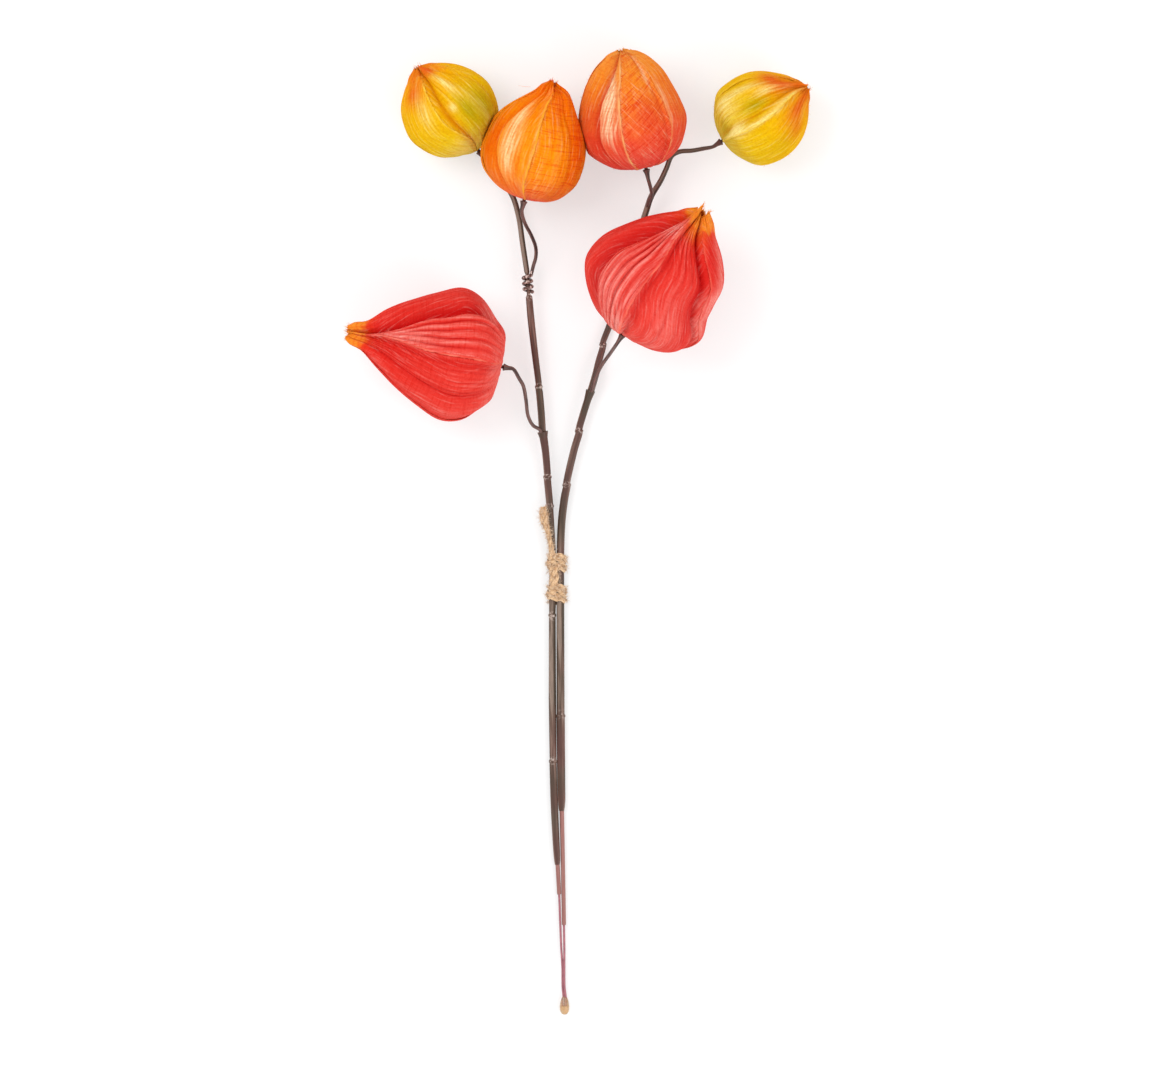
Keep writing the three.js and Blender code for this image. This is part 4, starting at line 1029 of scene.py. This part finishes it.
# Loose polyester threads: a little paler and shinier than the cloth they came from, and uneven in dye.
thread_colours = {                      # paler threads, deeper ones, and those at the dipped tips
    "red_fabric": ("#F4705C", "#E8402F", "#FF9E30"),
    "orange_fabric": ("#FFB855", "#FA8A1C", "#F4702A"),
    "coral_fabric": ("#FFC080", "#F58A2C", "#FFAE50"),
    "yellow_fabric": ("#F8D25C", "#EFA82A", "#F08A30"),
}
thread_materials = {}
for slot, (pale, deep, tip) in thread_colours.items():
    thread_materials[slot], tree = new_material(slot.replace("fabric", "loose_thread"))
    coords = add(tree, "TexCoord")
    uneven = add(tree, "TexNoise", {"Vector": coords.outputs["Object"], "Scale": 0.3 / MM, "Detail": 1})
    tint = add(tree, "ValToRGB", {"Fac": uneven}, [(0.4, deep), (0.6, pale)])
    dipped = add(tree, "Attribute", attribute_name="dipped")
    mixed = add(tree, "Mix", {
        "Factor": dipped.outputs["Fac"], "A": tint, "B": linear(tip),
    }, data_type="RGBA")
    shader = add(tree, "BsdfPrincipled", {
        "Base Color": mixed, "Roughness": 0.6, "Specular IOR Level": 0.15,
    })
    add(tree, "OutputMaterial", {"Surface": shader})

tip_threads = {"red_fabric": 44, "orange_fabric": 24, "coral_fabric": 8, "yellow_fabric": 14}
rng = random.Random(4)
for pod, shape in PODS.items():
    base, axis = directions_of(pod)[:2]
    bm = bmesh.new()
    for seam in range(5):
        upper, edge = (seam, 0) if shape["over"][seam] < 0 else ((seam + 4) % 5, 1)
        surface, rows = petal_surface(pod, upper)[:2]
        for _ in range(EDGE_THREADS):
            row = rng.randrange(int(0.15 * ROWS), ROWS)
            at = surface(edge, row)[0]
            inner = surface(0.97 * edge + 0.015, row)[0]
            outwards = (at - (base + axis * rows[row][0].y)).normalized()
            heading = (at - inner).normalized() + outwards * rng.uniform(0, 0.7)
            heading += axis * rng.uniform(-0.8, 1.2)
            length = 0.7 + 1.6 * rng.random() ** 2
            loose_thread(bm, inner.lerp(at, 0.7), heading, length, THREAD_RADIUS, rng)
        for _ in range(tip_threads[shape["slot"]]):
            at = surface(rng.random(), ROWS)[0]
            heading = axis + Vector([rng.uniform(-0.5, 0.5) for _ in range(3)])
            length = 0.8 + 2.4 * rng.random() ** 2
            loose_thread(bm, at - axis * 0.3, heading, length, THREAD_RADIUS, rng, at_tip=1)
    if pod == "orange":                     # one long thread has come away at its top left
        loose_thread(bm, Vector((-23.6, 230.8, 35)), Vector((-1, 0.06, 0.1)), 6.8, THREAD_RADIUS, rng)
    for vert in bm.verts:
        vert.co.z = max(vert.co.z, TABLE_GAP * MM)
    finish_piece(f"{pod}_fray", bm, thread_materials[shape["slot"]], shape["slot"])

# ---- Glue drop --------------------------------------------------------------------------------------
# The ends of both wires are dipped in one drop of hot glue, so that they can't scratch. It set while it
# hung from them and is a little flat where it lies on the table.
DROP_RADIUS = 2.6
DROP_FLAT = 0.4
DROP_SIDES = 40
DROP_GAP = 0.02                         # between the drop's flat and the table
DROP_PROFILE = [                        # (from the top, radius)
    (-9.4, 0.05), (-9.3, 0.7), (-8.9, 1.4), (-8, 2.05), (-6.6, 2.45), (-4.8, 2.5), (-2.6, 2.1), (-1, 1.65),
    (0, 1.2),
]
drop_height = DROP_RADIUS - DROP_FLAT
route = [[DROP_X, DROP_TOP + distance, drop_height, radius] for distance, radius in DROP_PROFILE]
bm = tube(stations_along(route, per_gap=6), DROP_SIDES)
for vert in bm.verts:
    vert.co.z = max(vert.co.z, DROP_GAP * MM)
finish_piece("wire_end_drop", bm, glue_material, "glue", "glue_drop")

# ---- Twine ------------------------------------------------------------------------------------------
# Jute twine ties the stems: a tail lies up the left stem, the twine goes twice round both stems, down
# over the left one and twice round again. It is soft, three-ply and hairy, and pulls flat.
TWINE_HALF_WIDTH = 2.1
TWINE_HALF_THICKNESS = 0.45
TWINE_CLEARANCE = 0.05
TWINE_SIDES = 28
WRAP_PITCH = 4.5
WRAP_TURNS = 2
WRAP_STATIONS = 48                      # in each turn
WRAP_TOPS = (-11, -27)
WRAP_START = 0.8                        # past the left stem's top, where the turns are counted from
WRAP_EARLY = 6                          # stations of a wrap before that
WRAP_SHORT = 13                         # stations that its last turn lacks
PLIES = 3
PLY_LENGTH = 5.2                        # along the twine, from one ply to the next
PLY_DEPTH = 0.3
FIBRE_DEPTH = 0.1
HAIRS = 35                              # on a millimetre of twine
HAIR_RADIUS = 0.08
wrap_radius = RIGHT_RADIUS + TWINE_CLEARANCE + TWINE_HALF_THICKNESS
wrap_arc = math.pi * wrap_radius
wrap_length = 2 * (wrap_arc + STEM_SPACING)


def around_stems(distance, y):
    """A station of the twine on the oval round both stems, measured clockwise from the left one's top."""
    on = distance % wrap_length
    centre_x = LEFT_TIE_X
    angle = 0
    if on < STEM_SPACING:
        centre_x += on
    elif on < STEM_SPACING + wrap_arc:
        centre_x = RIGHT_TIE_X
        angle = (on - STEM_SPACING) / wrap_radius
    elif on < 2 * STEM_SPACING + wrap_arc:
        centre_x = RIGHT_TIE_X - (on - STEM_SPACING - wrap_arc)
        angle = math.pi
    else:
        angle = (on - 2 * STEM_SPACING) / wrap_radius
    outwards = Vector((math.sin(angle), 0, math.cos(angle)))
    centre = Vector((centre_x, y, TIE_HEIGHT)) + outwards * wrap_radius
    return [centre, outwards, TWINE_HALF_WIDTH, TWINE_HALF_THICKNESS]


def ribbon_stations(stops):
    """Stops of (centre, outwards, half width, half thickness) as stations for a flattened tube."""
    stations = []
    run = 0
    for i, (centre, outwards, half_width, half_thickness) in enumerate(stops):
        ahead = stops[min(i + 1, len(stops) - 1)][0] - stops[max(i - 1, 0)][0]
        across = ahead.cross(outwards).normalized()
        if i > 0:
            run += (centre - stops[i - 1][0]).length * MM
        thickness = half_thickness * MM
        stations.append((place(*centre), thickness, across * (half_width / half_thickness), outwards, run))
    return stations


def strand_stops(points, per_gap):
    """A strand laid on top of the stems, through points of [x, y, z, half width, half thickness]."""
    centres = smooth_curve([Vector(point[:3]) for point in points], per_gap)
    half_widths = [point[3] for point in points]
    half_thicknesses = [point[4] for point in points]
    return [
        [centre, Vector((0, 0, 1)), between(half_widths, i, per_gap), between(half_thicknesses, i, per_gap)]
        for i, centre in enumerate(centres)
    ]


def ply_relief(turn, run):
    """Three plies twisted round each other, and the fibres on them."""
    plies = abs(math.sin(math.pi * (PLIES * turn + run / (PLY_LENGTH * MM))))
    fibres = noise.noise(Vector((turn * 14 + run * 900, run * 350, 0)))
    return PLY_DEPTH * MM * (plies - 0.7) + FIBRE_DEPTH * MM * fibres


# Jute: dry, coarse fibres the colour of straw, with painted shade between the plies.
jute_material, tree = new_material("jute_fibre")
coords = add(tree, "TexCoord")
fibre_map = add(tree, "Mapping", {
    "Vector": coords.outputs["UV"], "Rotation": (0, 0, 0.5), "Scale": (21, 0.36 * MAP_UNIT, 1),
})
fibre = add(tree, "TexNoise", {"Vector": fibre_map, "Scale": 1, "Detail": 5, "Roughness": 0.7})
straw = add(tree, "ValToRGB", {"Fac": fibre}, [(0.34, "#A5764A"), (0.66, "#EBCBA2")])
twist = add(tree, "VectorMath", {
    0: coords.outputs["UV"], 1: (PLIES * math.pi, math.pi / (PLY_LENGTH / MAP_UNIT), 0),
}, operation="DOT_PRODUCT")
wave = add(tree, "Math", {0: twist}, operation="SINE")
ply = add(tree, "Math", {0: wave}, operation="ABSOLUTE")
# Painted shade in the valleys between the plies.
ply_valley_shade = add(tree, "MapRange", {
    "Value": ply, "From Min": 0.05, "From Max": 0.5, "To Min": 0.5, "To Max": 0,
})
ply_shaded = add(tree, "Mix", {"Factor": ply_valley_shade, "A": straw, "B": linear("#7A5030")}, data_type="RGBA")
speckle = add(tree, "TexNoise", {"Vector": coords.outputs["Object"], "Scale": 0.7 / MM, "Detail": 1})
hair = add(tree, "ValToRGB", {"Fac": speckle}, [(0.42, "#BF9364"), (0.58, "#FBE4C6")])
loose = add(tree, "Attribute", attribute_name="dipped")
jute = add(tree, "Mix", {"Factor": loose.outputs["Fac"], "A": ply_shaded, "B": hair}, data_type="RGBA")
finish_material(tree, jute, fibre, 0.7, 0.3, {"Roughness": 0.85, "Sheen Weight": 0.3})

wrap_top = TIE_HEIGHT + wrap_radius
tail_points = [
    [-17.1, 13, 9.2, 1.3, 1], [-16.9, 9.3, 9, 2.2, 1.3], [-16.4, 5.4, 8.6, 1.9, 1.2],
    [-15.1, 1.6, 8, 1.3, 1], [-13.9, -3.2, wrap_top + 1, 1.1, 0.9], [-12.9, -8.4, wrap_top + 0.6, 1.3, 0.8],
    [LEFT_TIE_X + 0.3, -14.5, wrap_top + 0.2, 1.8, 0.7],
]
column_points = [
    [LEFT_TIE_X + 0.6, -18, wrap_top + 0.2, 2.1, 0.7],
    [LEFT_TIE_X + 0.9, -24, wrap_top, 2.2, 0.7],
    [LEFT_TIE_X + 0.6, -30, wrap_top + 0.2, 2.1, 0.7],
]
lengths = [strand_stops(points, per_gap=8) for points in (tail_points, column_points)]
for top in WRAP_TOPS:
    wrap = []
    for i in range(-WRAP_EARLY, WRAP_TURNS * WRAP_STATIONS - WRAP_SHORT):
        turn = i / WRAP_STATIONS
        y = top - TWINE_HALF_WIDTH - turn * WRAP_PITCH
        wrap.append(around_stems(turn * wrap_length + WRAP_START, y))
    lengths.append(wrap)
bm = bmesh.new()
for stops in lengths:
    stations = ribbon_stations(stops)
    merge(bm, tube(stations, TWINE_SIDES, ply_relief))
    for _ in range(int(HAIRS * stations[-1][4] / MM)):
        centre, outwards, half_width, half_thickness = rng.choice(stops)
        ahead = (stops[-1][0] - stops[0][0]).normalized()
        across = ahead.cross(outwards)
        turn = rng.uniform(0, 2 * math.pi)
        out_of_twine = outwards * math.sin(turn) * half_thickness + across * math.cos(turn) * half_width
        heading = out_of_twine.normalized() * rng.uniform(0.1, 0.8) + ahead * rng.uniform(-1, 1)
        heading += across * rng.uniform(-0.8, 0.8)
        length = 0.8 + 2.2 * rng.random() ** 2
        loose_thread(bm, centre + out_of_twine * 0.95, heading, length, HAIR_RADIUS, rng, at_tip=1)
for vert in bm.verts:
    vert.co.z = max(vert.co.z, TABLE_GAP * MM)
finish_piece("twine", bm, jute_material, "jute", "jute_twine")

# ---- Table and light --------------------------------------------------------------------------------
# A plain pale table, a large soft lamp from the upper left with a weaker one opposite, and an even pale
# surround.
table = bpy.data.meshes.new("table")
bm = bmesh.new()
bmesh.ops.create_grid(bm, x_segments=1, y_segments=1, size=3)
bm.to_mesh(table)
bm.free()
floor = bpy.data.objects.new("table", table)
scene.collection.objects.link(floor)
floor_material, tree = new_material("white_table")
light_path = add(tree, "LightPath")
paint = add(tree, "BsdfPrincipled", {"Base Color": linear("#F4F4F4"), "Roughness": 0.9})
glow = add(tree, "Emission", {"Color": linear("#FFFFFF"), "Strength": 1})
seen = add(tree, "Math", {0: light_path.outputs["Is Camera Ray"], 1: 0.5}, operation="MULTIPLY")
both = add(tree, "MixShader", {"Fac": seen, 1: paint, 2: glow})
add(tree, "OutputMaterial", {"Surface": both})
table.materials.append(floor_material)

world = bpy.data.worlds.new("surround")
scene.world = world
world.use_nodes = True
tree = world.node_tree
tree.nodes.clear()
light_path = add(tree, "LightPath")
rays = {0: light_path.outputs["Is Camera Ray"], 1: light_path.outputs["Is Glossy Ray"]}
seen = add(tree, "Math", rays, operation="MAXIMUM")
strength = add(tree, "MapRange", {"Value": seen, "To Min": 0.97, "To Max": 1})
surround = add(tree, "Background", {"Color": linear("#FFFFFF"), "Strength": strength})
add(tree, "OutputWorld", {"Surface": surround})

for lamp_name, energy, lamp_at in (("key", 9, (-0.75, 0.55, 1.3)), ("fill", 6, (0.8, -0.6, 0.9))):
    lamp_data = bpy.data.lights.new(lamp_name, "AREA")
    lamp_data.shape = "DISK"
    lamp_data.size = 0.9
    lamp_data.energy = energy
    lamp = bpy.data.objects.new(lamp_name, lamp_data)
    lamp.location = lamp_at
    lamp.rotation_euler = (Vector((0, 0.05, 0)) - lamp.location).to_track_quat("-Z", "Y").to_euler()
    scene.collection.objects.link(lamp)
